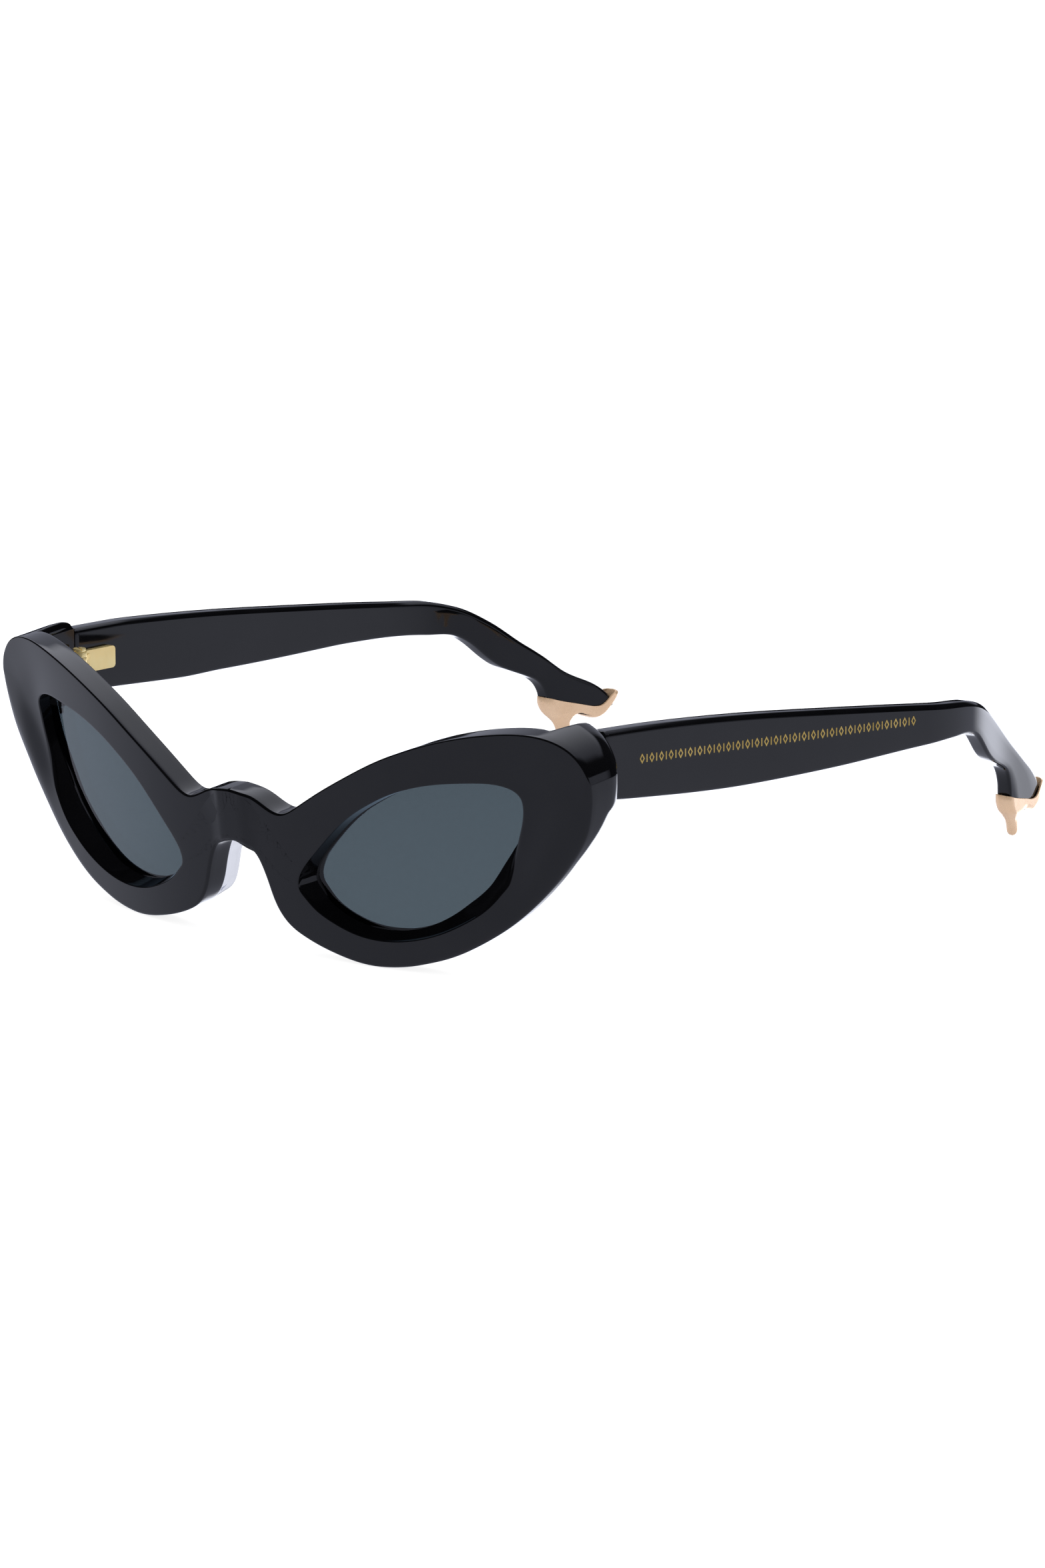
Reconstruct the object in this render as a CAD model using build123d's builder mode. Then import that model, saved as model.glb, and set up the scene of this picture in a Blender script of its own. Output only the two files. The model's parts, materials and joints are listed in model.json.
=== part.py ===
"""Cat eye sunglasses: one-piece acetate front, tinted lenses, five-barrel
hinges, acetate temples with a metal core, and cast heel shoes on the tips.

Frame: X to the wearer's left, Y towards the ears, Z up, millimetres.  The
origin is under the middle of the glasses, on the flat they rest on: the two
rims and the two heel tips touch Z = 0.

Paired pieces are built on the wearer's left (+X) and mirrored to the right.
"""
from build123d import *

import os
from math import cos, radians, sin, sqrt

# ------------------------------------------------------------ working planes
REST_PITCH = 1.85       # degrees the temples drop backwards when set down
FRONT_LEAN = 6.843      # degrees the front leans over the temple normal
HINGE_TO_MID = 56.515   # temples' front faces to the middle of the overall length
DATUM_Z = -0.666        # height of the design datum over the flat
FRONT_DATUM = 20.0      # height of the front's own origin over the datum

pitch = radians(REST_PITCH)
lean = radians(FRONT_LEAN - REST_PITCH)
# looking down on the temples: x across, y towards the ears
BASE = Plane(origin=(0, -HINGE_TO_MID, DATUM_Z), x_dir=(1, 0, 0),
             z_dir=(0, sin(pitch), cos(pitch)))
# side view of a temple: y towards the ears, z up
SIDE = Plane(origin=BASE.origin, x_dir=(0, cos(pitch), -sin(pitch)), z_dir=(1, 0, 0))
front_origin = BASE.from_local_coords((0, 0, FRONT_DATUM))
# looking at the front from outside: u across, v up the front
FRONT = Plane(origin=front_origin, x_dir=(1, 0, 0), z_dir=(0, -cos(lean), -sin(lean)))
# looking down the front: u across, w towards the ears
FRONT_PLAN = Plane(origin=front_origin, x_dir=(1, 0, 0), z_dir=(0, -sin(lean), cos(lean)))

# Start planes and lengths of extrusions that run right through a piece
FRONT_START = FRONT.offset(-10)             # behind the front, extruded forwards
FRONT_REACH = 40
FRONT_PLAN_START = FRONT_PLAN.offset(-25)   # below the front, extruded upwards
RELIEF_PLAN_START = FRONT_PLAN.offset(-35)
PLAN_REACH = 60
SIDE_START = SIDE.offset(-80)               # across both sides of the glasses
SIDE_REACH = 160
TEMPLE_SIDE_START = SIDE.offset(44)         # across the left temple only
TEMPLE_SIDE_REACH = 32

# ---------------------------------------------------------- front dimensions
FACE_W = -22.9          # depth w of the front surface at the bridge
FACE_RADIUS = 170.0     # radius of the front's face curve
ARC_U = 62.0            # the face curve ends here and the flare begins
FLARE = 0.31            # slope of the flared outer corners
FRONT_T = 5.2           # thickness of the acetate front
BLANK_U = 76.0          # half width of the plan, outside the front's outline
RIM_REAR_U = 60.6       # the rims' rear face ends here and the end piece begins
END_WALL_W = -5.0       # the end piece's inner wall starts at this depth
END_REAR_W = 2.4        # rear of the end pieces before the mitre
RELIEF_REAR_W = 30      # rear limit of the relief behind the rims

JOINT_GAP = 0.15        # mitre gap between end piece and open temple
MITRE_L = 12            # side view of the block cut off behind the end pieces
MITRE_H = 60
MITRE_MID_Z = 34

# -------------------------------------------------------- lenses and grooves
LENS_IN = 3.1           # lens front surface, behind the front surface
LENS_T = 1.4            # lens thickness
OPENING_INSET = 0.6     # the opening is cut this far inside its outline
LENS_LAP = 0.75         # how far the lens reaches into its groove
GROOVE_GAP = 0.1        # play between lens and groove
LENS_OUT = LENS_IN + LENS_T
LENS_MID_U = 40         # middle station of the lens and groove arcs

# ----------------------------------------------------------------- nose pads
PAD_H = 4.8             # height of the pads behind the rims' rear face at the bridge
PAD_SUNK = 1.0          # the loft starts this far in front of that face
PAD_TAPER = 0.9         # inset of the pad's rear outline
PAD_SHIFT = (0.9, -0.2)  # shift of the pad's rear outline
PAD_TRIM_U = 25         # limits of the plan that trims the loft
PAD_TRIM_MID_U = 12
PAD_TRIM_W = -8


def face_point(u, depth=0.0):
    """Plan point (u, w) on the front surface, or on one set back by depth:
    an arc as far as ARC_U, a straight flare beyond."""
    arc_u = min(abs(u), ARC_U)
    arc_w = FACE_W + FACE_RADIUS - sqrt((FACE_RADIUS - depth) ** 2 - arc_u ** 2)
    return (u, arc_w + FLARE * (abs(u) - arc_u))


def face_arc(*stations, depth=0.0):
    """Arc of the face curve through three values of u."""
    return ThreePointArc(*[face_point(u, depth) for u in stations])


def inset(points, distance, shift=(0.0, 0.0)):
    """A closed outline moved inwards (outwards if negative), then shifted."""
    following = points[1:] + points[:1]
    area = sum(xa * yb - xb * ya for (xa, ya), (xb, yb) in zip(points, following))
    turn = 1.0 if area > 0 else -1.0
    moved = []
    for i, (x, y) in enumerate(points):
        (xa, ya), (xb, yb) = points[i - 1], following[i]
        length = sqrt((xb - xa) ** 2 + (yb - ya) ** 2)
        normal_x = -(yb - ya) / length * turn
        normal_y = (xb - xa) / length * turn
        moved.append((x + distance * normal_x + shift[0], y + distance * normal_y + shift[1]))
    return moved


def mirrored(part):
    """The right-hand copy of a left-hand part."""
    with BuildPart() as right:
        mirror(part, about=Plane.YZ)
    return right.part


def with_pockets(body, *cutters):
    """A body with each cutter taken out of it, in order."""
    with BuildPart() as pocketed:
        add(body)
        for cutter in cutters:
            add(cutter, mode=Mode.SUBTRACT)
    return pocketed.part


# ------------------------------------------------- outlines, on the front (u, v)
# upper edge, from the bridge to the outer tip
BROW = [(0, 11.39), (3, 11.08), (5.7, 10.4), (7.9, 9.4), (9.8, 8.62), (11.5, 8.37),
        (13.5, 8.95), (15.9, 10.35), (20.5, 13.26), (27.3, 17.17), (34, 20.65),
        (39, 22.73), (43, 24.13), (49.5, 25.92), (56.9, 27.14), (62, 27.32),
        (65.9, 26.76), (68.8, 25.65), (70.5, 24.5), (71.9, 23.0), (73.1, 20.9),
        (73.6, 18.8)]
# lower edge, from the outer tip back to the bridge
CHEEK = [(73.6, 18.8), (73.45, 16.3), (72.9, 13.3), (71.6, 9.3), (68.1, 3.72),
         (64.1, -1.1), (60.3, -4.95), (56.6, -8.1), (52.8, -10.7), (48.9, -12.93),
         (44.7, -14.8), (40.5, -16.1), (37, -16.95), (33.5, -17.45), (29.5, -17.62),
         (25.5, -17.2), (21.5, -16.3), (17.8, -15.2), (14.7, -14.0), (12.5, -12.9),
         (10.7, -11.5), (9.2, -9.6), (8.1, -7.3), (7.3, -4.94), (6.4, -2.6),
         (5.4, -0.7), (4.0, 0.75), (2.2, 1.5), (0, 1.72)]
# lens opening, closed
OPENING = [(14.6, -3.49), (15.7, -0.55), (18.2, 2.62), (21.6, 5.99), (24.9, 8.8),
           (28, 11.0), (31, 12.76), (35, 14.58), (38, 15.61), (43, 16.88),
           (48, 17.62), (52, 17.95), (55.3, 17.97), (57.5, 17.6), (59.3, 16.8),
           (60.45, 15.5), (60.9, 13.8), (60.8, 10.65), (60.2, 7.06), (59.2, 3.5),
           (57.9, 0.7), (55.7, -2.3), (52.2, -5.4), (48.9, -7.6), (44.1, -10.0),
           (40, -11.4), (35.5, -12.3), (30.8, -12.5), (26, -11.8), (21.5, -10.2),
           (18, -8.3), (15.8, -6.3), (14.75, -4.9)]
# nose pad against the rim, closed
PAD = [(5.9, -0.9), (7.0, -3.2), (7.9, -5.6), (8.8, -8.2), (9.9, -10.4),
       (11.5, -12.0), (13.6, -13.2), (16.0, -14.0), (17.0, -13.0), (15.8, -11.6),
       (13.9, -9.6), (12.7, -6.8), (12.0, -3.6), (10.6, -0.6), (8.4, 1.2), (6.4, 0.8)]

# side profile (y, z) of the relief under the end pieces, closed
RELIEF_SIDE = [(4, 33.6), (-1.2, 33.6), (-7.5, 22.0), (-14.0, 3.0), (-14, -8), (4, -8)]

# ------------------------------------------ side profile of a temple (y, z)
TOP_EDGE = [(0, 45.0), (10, 44.6), (24, 43.7), (39, 42.4), (53, 40.9), (68, 39.2),
            (83, 37.4), (90, 36.55), (96, 35.9), (100, 35.1), (104, 33.8),
            (108, 31.8), (112, 29.2), (116, 26.3), (120, 23.3), (124, 20.4),
            (128, 17.6), (131, 15.5), (133.2, 13.5), (134.2, 12.2)]
FOOT_SOLE = [(134.2, 12.2), (133.6, 11.2), (132.0, 10.0), (130.3, 9.3),
             (128.0, 9.8), (125.5, 10.45), (123.4, 10.75), (121.2, 11.0),
             (120.1, 11.5), (119.75, 12.4)]
CALF_EDGE = [(119.75, 12.4), (119.3, 14.2), (118.5, 16.6), (117.3, 18.4),
             (115, 19.8), (113, 20.6), (111, 21.4), (109, 22.4), (107, 23.7),
             (105, 25.4), (103, 27.1), (101, 28.5), (98.5, 29.4), (95, 30.0),
             (87, 30.6), (72, 30.8), (57, 30.8), (42, 31.0), (28, 31.5),
             (13, 32.4), (0, 33.1)]
# outer and inner faces of a temple seen from above (x, y)
PLAN_OUT = [(68.3, 0), (68.7, 20), (69.3, 42), (69.9, 65), (70.1, 82), (69.4, 94),
            (67.6, 101), (65.7, 106), (62.1, 115), (58.6, 125), (54.6, 137),
            (53.3, 141)]
PLAN_IN = [(64.4, 0), (64.9, 20), (65.6, 42), (66.3, 65), (66.6, 82), (65.9, 93.4),
           (64.2, 100), (62.3, 105), (58.9, 114), (55.5, 124), (51.5, 136),
           (50.2, 140)]
HINGE_WALL_X = PLAN_IN[0][0]    # inner wall of both the end piece and the temple

# centre line of the core wire (x, y, z over BASE)
CORE_PATH = [(66.9, 12.0, 38.6), (67.4, 40, 37.2), (68.1, 65, 35.2), (68.35, 82, 33.9),
             (67.5, 94, 33.0), (65.2, 102.5, 31.0), (62.3, 110, 27.2),
             (59.75, 116.5, 22.6)]
CORE_RADIUS = 0.65

# --------------------------------------------- side profile of a shoe (y, z)
SHOE_RIM = [(119.0, 13.2), (121.5, 12.45), (124.5, 11.75), (127.5, 11.05),
            (129.8, 10.65), (131.2, 10.85), (132.5, 11.7), (133.6, 12.6),
            (135.2, 13.4)]
SHOE_TOE = [(135.2, 13.4), (135.75, 13.3), (135.8, 12.6), (134.7, 11.0),
            (133.4, 9.7), (131.8, 8.55), (130.4, 8.1), (129.0, 8.4),
            (127.4, 8.9), (126.0, 9.2), (125.0, 8.9)]
SHOE_BACK = [(121.6, 8.2), (120.4, 9.3), (119.5, 10.5), (119.0, 11.9), (119.0, 13.2)]
HEEL = [(120.6, 9.6), (121.6, 8.2), (122.3, 7.0), (122.75, 5.5), (122.9, 2.0),
        (125.0, 2.0), (124.95, 5.5), (124.95, 8.0), (125.6, 9.5)]
# shoe and heel seen from above (x, y), closed
SHOE_PLAN = [(61.65, 117), (59.1, 125), (55.5, 137), (50.5, 137), (54.7, 124.6),
             (57.25, 117)]
HEEL_PLAN = [(59.1, 119), (56.0, 128), (53.7, 128), (56.8, 119)]
HEEL_PLAN_Z = -5        # the heel's plan is extruded up from here
FLAT_SIZE = 400         # block under the flat that cuts the heel tips
FLAT_DEPTH = 20

# dowel that holds each shoe
PIN_RADIUS = 0.6
PIN_L = 6.5
PIN_AT = (57.65, 122.2)
PIN_Z = 9.2

# -------------------------------------------------------------------- hinges
AXIS_X = 62.3           # hinge pivot, from the middle plane
AXIS_Y = -0.9           # hinge pivot, from the temple's front face
BARREL_RADIUS = 1.35
BARREL_Z = 36.3         # bottom of the barrel stack
BARREL_H = 1.0          # pitch of the five barrels
BARREL_GAP = 0.05
STACK_H = 5 * BARREL_H
BORE_RADIUS = 0.74
BORE_START = 1          # the bore's cutter starts this far under the stack
BORE_L = 8

LEAF_H = 4.1
LEAF_Z = 36.75
LEAF_PROUD = 1.0        # how far a leaf stands out of its wall
LEAF_SUNK = 1.0         # how far it is let into the wall
LEAF_X = HINGE_WALL_X - LEAF_PROUD
ARM_BARREL = (1.3, 0.2)  # long and short offsets of the arm's corners at the barrel
ARM_LEAF = (0.9, 0.2)   # depths in the leaf of the arm's corners

SCREW_RADIUS = 0.70
SCREW_END = 0.15        # the shank runs this far past both ends of the stack
SCREW_HEAD_RADIUS = 1.15
SCREW_HEAD_H = 0.6
SLOT_L = 3
SLOT_W = 0.35
SLOT_DEPTH = 0.3
SLOT_ANGLE = 25


# ===================================================================== front
def build_front_blank():
    """Front with its end pieces and lens openings, before relief and pockets."""
    left_end = [face_point(ARC_U), face_point(BLANK_U), (BLANK_U, END_REAR_W),
                (HINGE_WALL_X, END_REAR_W), (HINGE_WALL_X, END_WALL_W),
                face_point(RIM_REAR_U, FRONT_T)]
    right_end = [(-u, w) for u, w in reversed(left_end)]
    with BuildPart() as front:
        with BuildSketch(FRONT_START):
            with BuildLine():
                Spline(*BROW)
                Spline(*CHEEK)
                Line(CHEEK[-1], BROW[0])
            make_face()
            mirror(about=Plane.YZ)
        extrude(amount=FRONT_REACH)
        # the face curve, the rear face of the rims and the deep end pieces
        with BuildSketch(FRONT_PLAN_START):
            with BuildLine():
                face_arc(-ARC_U, 0, ARC_U)
                Polyline(*left_end)
                face_arc(RIM_REAR_U, 0, -RIM_REAR_U, depth=FRONT_T)
                Polyline(*right_end)
            make_face()
        extrude(amount=PLAN_REACH, mode=Mode.INTERSECT)
        # rear of the end pieces: a mitre parallel to the temples' front faces
        with BuildSketch(SIDE_START):
            with Locations((MITRE_L / 2 - JOINT_GAP, MITRE_MID_Z)):
                Rectangle(MITRE_L, MITRE_H)
        extrude(amount=SIDE_REACH, mode=Mode.SUBTRACT)
        # lens openings
        with BuildSketch(FRONT_START):
            with BuildLine():
                Spline(*inset(OPENING, OPENING_INSET), periodic=True)
            make_face()
            mirror(about=Plane.YZ)
        extrude(amount=FRONT_REACH, mode=Mode.SUBTRACT)
    return front.part


def build_cheek_relief():
    """Cutter that tapers the end pieces back to the rim below the temples."""
    with BuildPart() as relief:
        with BuildSketch(SIDE_START):
            with BuildLine():
                Polyline(*RELIEF_SIDE, RELIEF_SIDE[0])
            make_face()
        extrude(amount=SIDE_REACH)
        with BuildSketch(RELIEF_PLAN_START):
            with BuildLine():
                face_arc(-ARC_U, 0, ARC_U, depth=FRONT_T)
                Polyline(face_point(ARC_U, FRONT_T), face_point(BLANK_U, FRONT_T),
                         (BLANK_U, RELIEF_REAR_W), (-BLANK_U, RELIEF_REAR_W),
                         face_point(-BLANK_U, FRONT_T), face_point(-ARC_U, FRONT_T))
            make_face()
        extrude(amount=PLAN_REACH, mode=Mode.INTERSECT)
    return relief.part


def build_lens(play=0.0):
    """Left lens; with play all round, the cutter for its groove."""
    with BuildPart() as lens:
        with BuildSketch(FRONT_START):
            with BuildLine():
                Spline(*inset(OPENING, OPENING_INSET - LENS_LAP - play), periodic=True)
            make_face()
        extrude(amount=FRONT_REACH)
        with BuildSketch(FRONT_PLAN_START):
            with BuildLine():
                outer = face_arc(0, LENS_MID_U, ARC_U, depth=LENS_IN - play)
                inner = face_arc(0, LENS_MID_U, ARC_U, depth=LENS_OUT + play)
                Line(outer @ 0, inner @ 0)
                Line(outer @ 1, inner @ 1)
            make_face()
        extrude(amount=PLAN_REACH, mode=Mode.INTERSECT)
    return lens.part


def build_nose_pad():
    """Left nose pad, on the rear of the nasal rim."""
    rim_rear_w = FACE_W + FRONT_T
    with BuildPart() as pad:
        with BuildSketch(FRONT.offset(-(rim_rear_w - PAD_SUNK))):
            with BuildLine():
                Spline(*PAD, periodic=True)
            make_face()
        with BuildSketch(FRONT.offset(-(rim_rear_w + PAD_H))):
            with BuildLine():
                Spline(*inset(PAD, PAD_TAPER, PAD_SHIFT), periodic=True)
            make_face()
        loft()
        # trim to the curved rear face of the rim
        with BuildSketch(FRONT_PLAN_START):
            with BuildLine():
                face_arc(0, PAD_TRIM_MID_U, PAD_TRIM_U, depth=FRONT_T)
                Polyline(face_point(PAD_TRIM_U, FRONT_T), (PAD_TRIM_U, PAD_TRIM_W),
                         (0, PAD_TRIM_W), face_point(0, FRONT_T))
            make_face()
        extrude(amount=PLAN_REACH, mode=Mode.INTERSECT)
    return pad.part


# ==================================================================== hinges
def build_hinge_half(leaf_y, leaf_length, leaf_corner, slots, side, arm_y):
    """Left hinge half: a sunk leaf with an arm and a barrel in each slot.

    leaf_y is the leaf's front end; slots count up the stack; side is +1 for
    arms on the ear side of the pivot, -1 for the front side; arm_y holds the
    arm's near and far ends on the leaf.
    """
    long, short = ARM_BARREL
    deep, shallow = ARM_LEAF
    near_y, far_y = arm_y
    arm = [(AXIS_X - short, AXIS_Y + side * long), (AXIS_X + long, AXIS_Y + side * short),
           (LEAF_X + deep, near_y), (LEAF_X + deep, far_y), (LEAF_X + shallow, far_y)]
    with BuildPart() as hinge:
        with BuildSketch(SIDE.offset(LEAF_X)):
            with Locations((leaf_y + leaf_length / 2, LEAF_Z + LEAF_H / 2)):
                RectangleRounded(leaf_length, LEAF_H, leaf_corner)
        extrude(amount=LEAF_PROUD + LEAF_SUNK)
        for slot in slots:
            with BuildSketch(BASE.offset(BARREL_Z + slot * BARREL_H + BARREL_GAP / 2)):
                with Locations((AXIS_X, AXIS_Y)):
                    Circle(BARREL_RADIUS)
                with BuildLine():
                    Polyline(*arm, arm[0])
                make_face()
            extrude(amount=BARREL_H - BARREL_GAP)
        with BuildSketch(BASE.offset(BARREL_Z - BORE_START)):
            with Locations((AXIS_X, AXIS_Y)):
                Circle(BORE_RADIUS)
        extrude(amount=BORE_L, mode=Mode.SUBTRACT)
    return hinge.part


def build_hinge_screw():
    """Left hinge screw, with a slotted head on top of the barrels."""
    head_z = BARREL_Z + STACK_H
    with BuildPart() as screw:
        with BuildSketch(BASE.offset(BARREL_Z - SCREW_END)):
            with Locations((AXIS_X, AXIS_Y)):
                Circle(SCREW_RADIUS)
        extrude(amount=STACK_H + 2 * SCREW_END)
        with BuildSketch(BASE.offset(head_z)):
            with Locations((AXIS_X, AXIS_Y)):
                Circle(SCREW_HEAD_RADIUS)
        extrude(amount=SCREW_HEAD_H)
        with BuildSketch(BASE.offset(head_z + SCREW_HEAD_H)):
            with Locations((AXIS_X, AXIS_Y)):
                Rectangle(SLOT_L, SLOT_W, rotation=SLOT_ANGLE)
        extrude(amount=-SLOT_DEPTH, mode=Mode.SUBTRACT)
    return screw.part


# =================================================================== temples
def build_wire_core():
    """Core wire of the left temple."""
    with BuildPart() as core:
        with BuildLine(BASE):
            path = Spline(*CORE_PATH)
        with BuildSketch(Plane(path @ 0, z_dir=path % 0)):
            Circle(CORE_RADIUS)
        sweep(path=path)
    return core.part


def build_temple_blank():
    """Left temple, ending in a foot, before its pockets."""
    with BuildPart() as temple:
        with BuildSketch(TEMPLE_SIDE_START):
            with BuildLine():
                Spline(*TOP_EDGE)
                Spline(*FOOT_SOLE)
                Spline(*CALF_EDGE)
                Line(CALF_EDGE[-1], TOP_EDGE[0])
            make_face()
        extrude(amount=TEMPLE_SIDE_REACH)
        with BuildSketch(BASE):
            with BuildLine():
                Spline(*PLAN_OUT)
                Line(PLAN_OUT[-1], PLAN_IN[-1])
                Spline(*reversed(PLAN_IN))
                Line(PLAN_IN[0], PLAN_OUT[0])
            make_face()
        extrude(amount=PLAN_REACH, mode=Mode.INTERSECT)
    return temple.part


# ===================================================================== shoes
def build_stiletto():
    """Heel of the left shoe, longer than needed at its tip."""
    with BuildPart() as stiletto:
        with BuildSketch(TEMPLE_SIDE_START):
            with BuildLine():
                Polyline(*HEEL, HEEL[0])
            make_face()
        extrude(amount=TEMPLE_SIDE_REACH)
        with BuildSketch(BASE.offset(HEEL_PLAN_Z)):
            with BuildLine():
                Polyline(*HEEL_PLAN, HEEL_PLAN[0])
            make_face()
        extrude(amount=PLAN_REACH, mode=Mode.INTERSECT)
    return stiletto.part


def build_shoe_pin():
    """Dowel through the left shoe into the foot."""
    with BuildPart() as pin:
        with BuildSketch(BASE.offset(PIN_Z)):
            with Locations(PIN_AT):
                Circle(PIN_RADIUS)
        extrude(amount=PIN_L)
    return pin.part


def build_heel_shoe(stiletto, foot, pin):
    """Left shoe with its heel, hollowed for the foot and the dowel."""
    with BuildPart() as shoe:
        with BuildSketch(TEMPLE_SIDE_START):
            with BuildLine():
                Spline(*SHOE_RIM)
                Spline(*SHOE_TOE)
                Line(SHOE_TOE[-1], SHOE_BACK[0])
                Spline(*SHOE_BACK)
            make_face()
        extrude(amount=TEMPLE_SIDE_REACH)
        with BuildSketch(BASE):
            with BuildLine():
                Polyline(*SHOE_PLAN, SHOE_PLAN[0])
            make_face()
        extrude(amount=PLAN_REACH, mode=Mode.INTERSECT)
        add(stiletto)
        # the heel tip is cut level with the flat the glasses rest on
        with BuildSketch(Plane.XY):
            Rectangle(FLAT_SIZE, FLAT_SIZE)
        extrude(amount=-FLAT_DEPTH, mode=Mode.SUBTRACT)
        add(foot, mode=Mode.SUBTRACT)
        add(pin, mode=Mode.SUBTRACT)
    return shoe.part


# ================================================================== assembly
temple_hinge = build_hinge_half(leaf_y=1.5, leaf_length=7.8, leaf_corner=0.7,
                                slots=(1, 3), side=1, arm_y=(1.6, 3.2))
front_hinge = build_hinge_half(leaf_y=-7.3, leaf_length=4.0, leaf_corner=0.6,
                               slots=(0, 2, 4), side=-1, arm_y=(-3.2, -4.8))
wire_core = build_wire_core()
shoe_pin = build_shoe_pin()
temple_blank = build_temple_blank()
lens_groove = build_lens(play=GROOVE_GAP)

left_pieces = {
    "lens": build_lens(),
    "nose_pad": build_nose_pad(),
    "front_hinge": front_hinge,
    "temple_hinge": temple_hinge,
    "hinge_screw": build_hinge_screw(),
    "temple": with_pockets(temple_blank, temple_hinge, wire_core, shoe_pin),
    "wire_core": wire_core,
    "heel_shoe": build_heel_shoe(build_stiletto(), temple_blank, shoe_pin),
    "shoe_pin": shoe_pin,
}
pieces = {
    "front_frame": with_pockets(build_front_blank(), build_cheek_relief(),
                                lens_groove, mirrored(lens_groove),
                                front_hinge, mirrored(front_hinge)),
}
for name, left_piece in left_pieces.items():
    pieces[f"{name}_left"] = left_piece
    pieces[f"{name}_right"] = mirrored(left_piece)

os.makedirs("parts", exist_ok=True)
for name, piece in pieces.items():
    piece.label = name
    export_step(piece, f"parts/{name}.step")
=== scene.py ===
"""Cat eye sunglasses: polished acetate, tinted lenses and temple tips in cast heeled shoes.

The design frame is in mm: x to the wearer's left, y back along the temples, z up. The
front leans, and is drawn in its own coordinates: u to the wearer's left, v up the face
and w from the face to the rear. Paired pieces are drawn on the left (+x) and mirrored.
"""
import json
import math

import bmesh
import bpy
import numpy as np
from mathutils import Matrix, Vector
from mathutils.geometry import delaunay_2d_cdt


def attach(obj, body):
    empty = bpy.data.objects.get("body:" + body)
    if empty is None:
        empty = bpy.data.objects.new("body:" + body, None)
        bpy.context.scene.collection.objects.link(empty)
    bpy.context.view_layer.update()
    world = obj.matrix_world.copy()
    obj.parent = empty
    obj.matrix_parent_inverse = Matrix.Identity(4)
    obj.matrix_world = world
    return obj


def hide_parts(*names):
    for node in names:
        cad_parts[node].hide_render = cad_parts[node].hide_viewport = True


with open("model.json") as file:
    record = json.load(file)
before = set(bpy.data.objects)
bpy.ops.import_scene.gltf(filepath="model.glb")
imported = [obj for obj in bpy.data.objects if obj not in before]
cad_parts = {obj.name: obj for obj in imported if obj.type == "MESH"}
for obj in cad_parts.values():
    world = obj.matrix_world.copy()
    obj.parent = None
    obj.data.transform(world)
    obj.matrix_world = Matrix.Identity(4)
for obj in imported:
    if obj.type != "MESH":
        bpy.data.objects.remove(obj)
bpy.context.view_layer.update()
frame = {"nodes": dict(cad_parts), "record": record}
MM = 0.001

# ------------------------------------------------------------ design frame
# The left hinge joint carries the pitch and the datum of the design.
joint = next(j for j in frame["record"]["behaviour"]["joints"] if j["name"] == "left_temple_fold")
HINGE_AXIS = Vector(joint["axis"]).normalized()
AXIS_X = Vector((1.0, 0.0, 0.0))
AXIS_Y = Vector((0.0, HINGE_AXIS.z, -HINGE_AXIS.y))
AXIS_Z = Vector((0.0, HINGE_AXIS.y, HINGE_AXIS.z))
PIVOT = (62.3, -0.9, 38.8)        # the joint in design coordinates
DATUM = Vector(joint["pos_m"]) - MM * (PIVOT[0] * AXIS_X + PIVOT[1] * AXIS_Y + PIVOT[2] * AXIS_Z)
BASIS = np.array([list(AXIS_X), list(AXIS_Y), list(AXIS_Z)])
ORIGIN = np.array(list(DATUM))
LEAN = math.radians(6.843)        # lean of the front
COS_LEAN, SIN_LEAN = math.cos(LEAN), math.sin(LEAN)
FRONT_Z = 20.0                    # height of the front's own origin


def to_world(points):
    """Design coordinates (mm, n x 3) to world coordinates (m)."""
    return np.asarray(points, float) * MM @ BASIS + ORIGIN


def front_to_world(points):
    """Front coordinates u, v, w (mm, n x 3) to world coordinates (m)."""
    points = np.asarray(points, float)
    y = -SIN_LEAN * points[:, 1] + COS_LEAN * points[:, 2]
    z = FRONT_Z + COS_LEAN * points[:, 1] + SIN_LEAN * points[:, 2]
    return to_world(np.stack([points[:, 0], y, z], 1))


# ------------------------------------------------------------------- curves
def ease(t):
    """Smooth step of a share from 0 to 1."""
    return t * t * (3 - 2 * t)


def lengths_along(line):
    """Running length at each point of a polyline."""
    return np.concatenate([[0], np.cumsum(np.sqrt(((line[1:] - line[:-1]) ** 2).sum(1)))])


def even(line, count):
    """Resamples a polyline to evenly spaced points."""
    length = lengths_along(line)
    wanted = np.linspace(0, length[-1], count)
    return np.stack([np.interp(wanted, length, line[:, i]) for i in range(line.shape[1])], 1)


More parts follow.
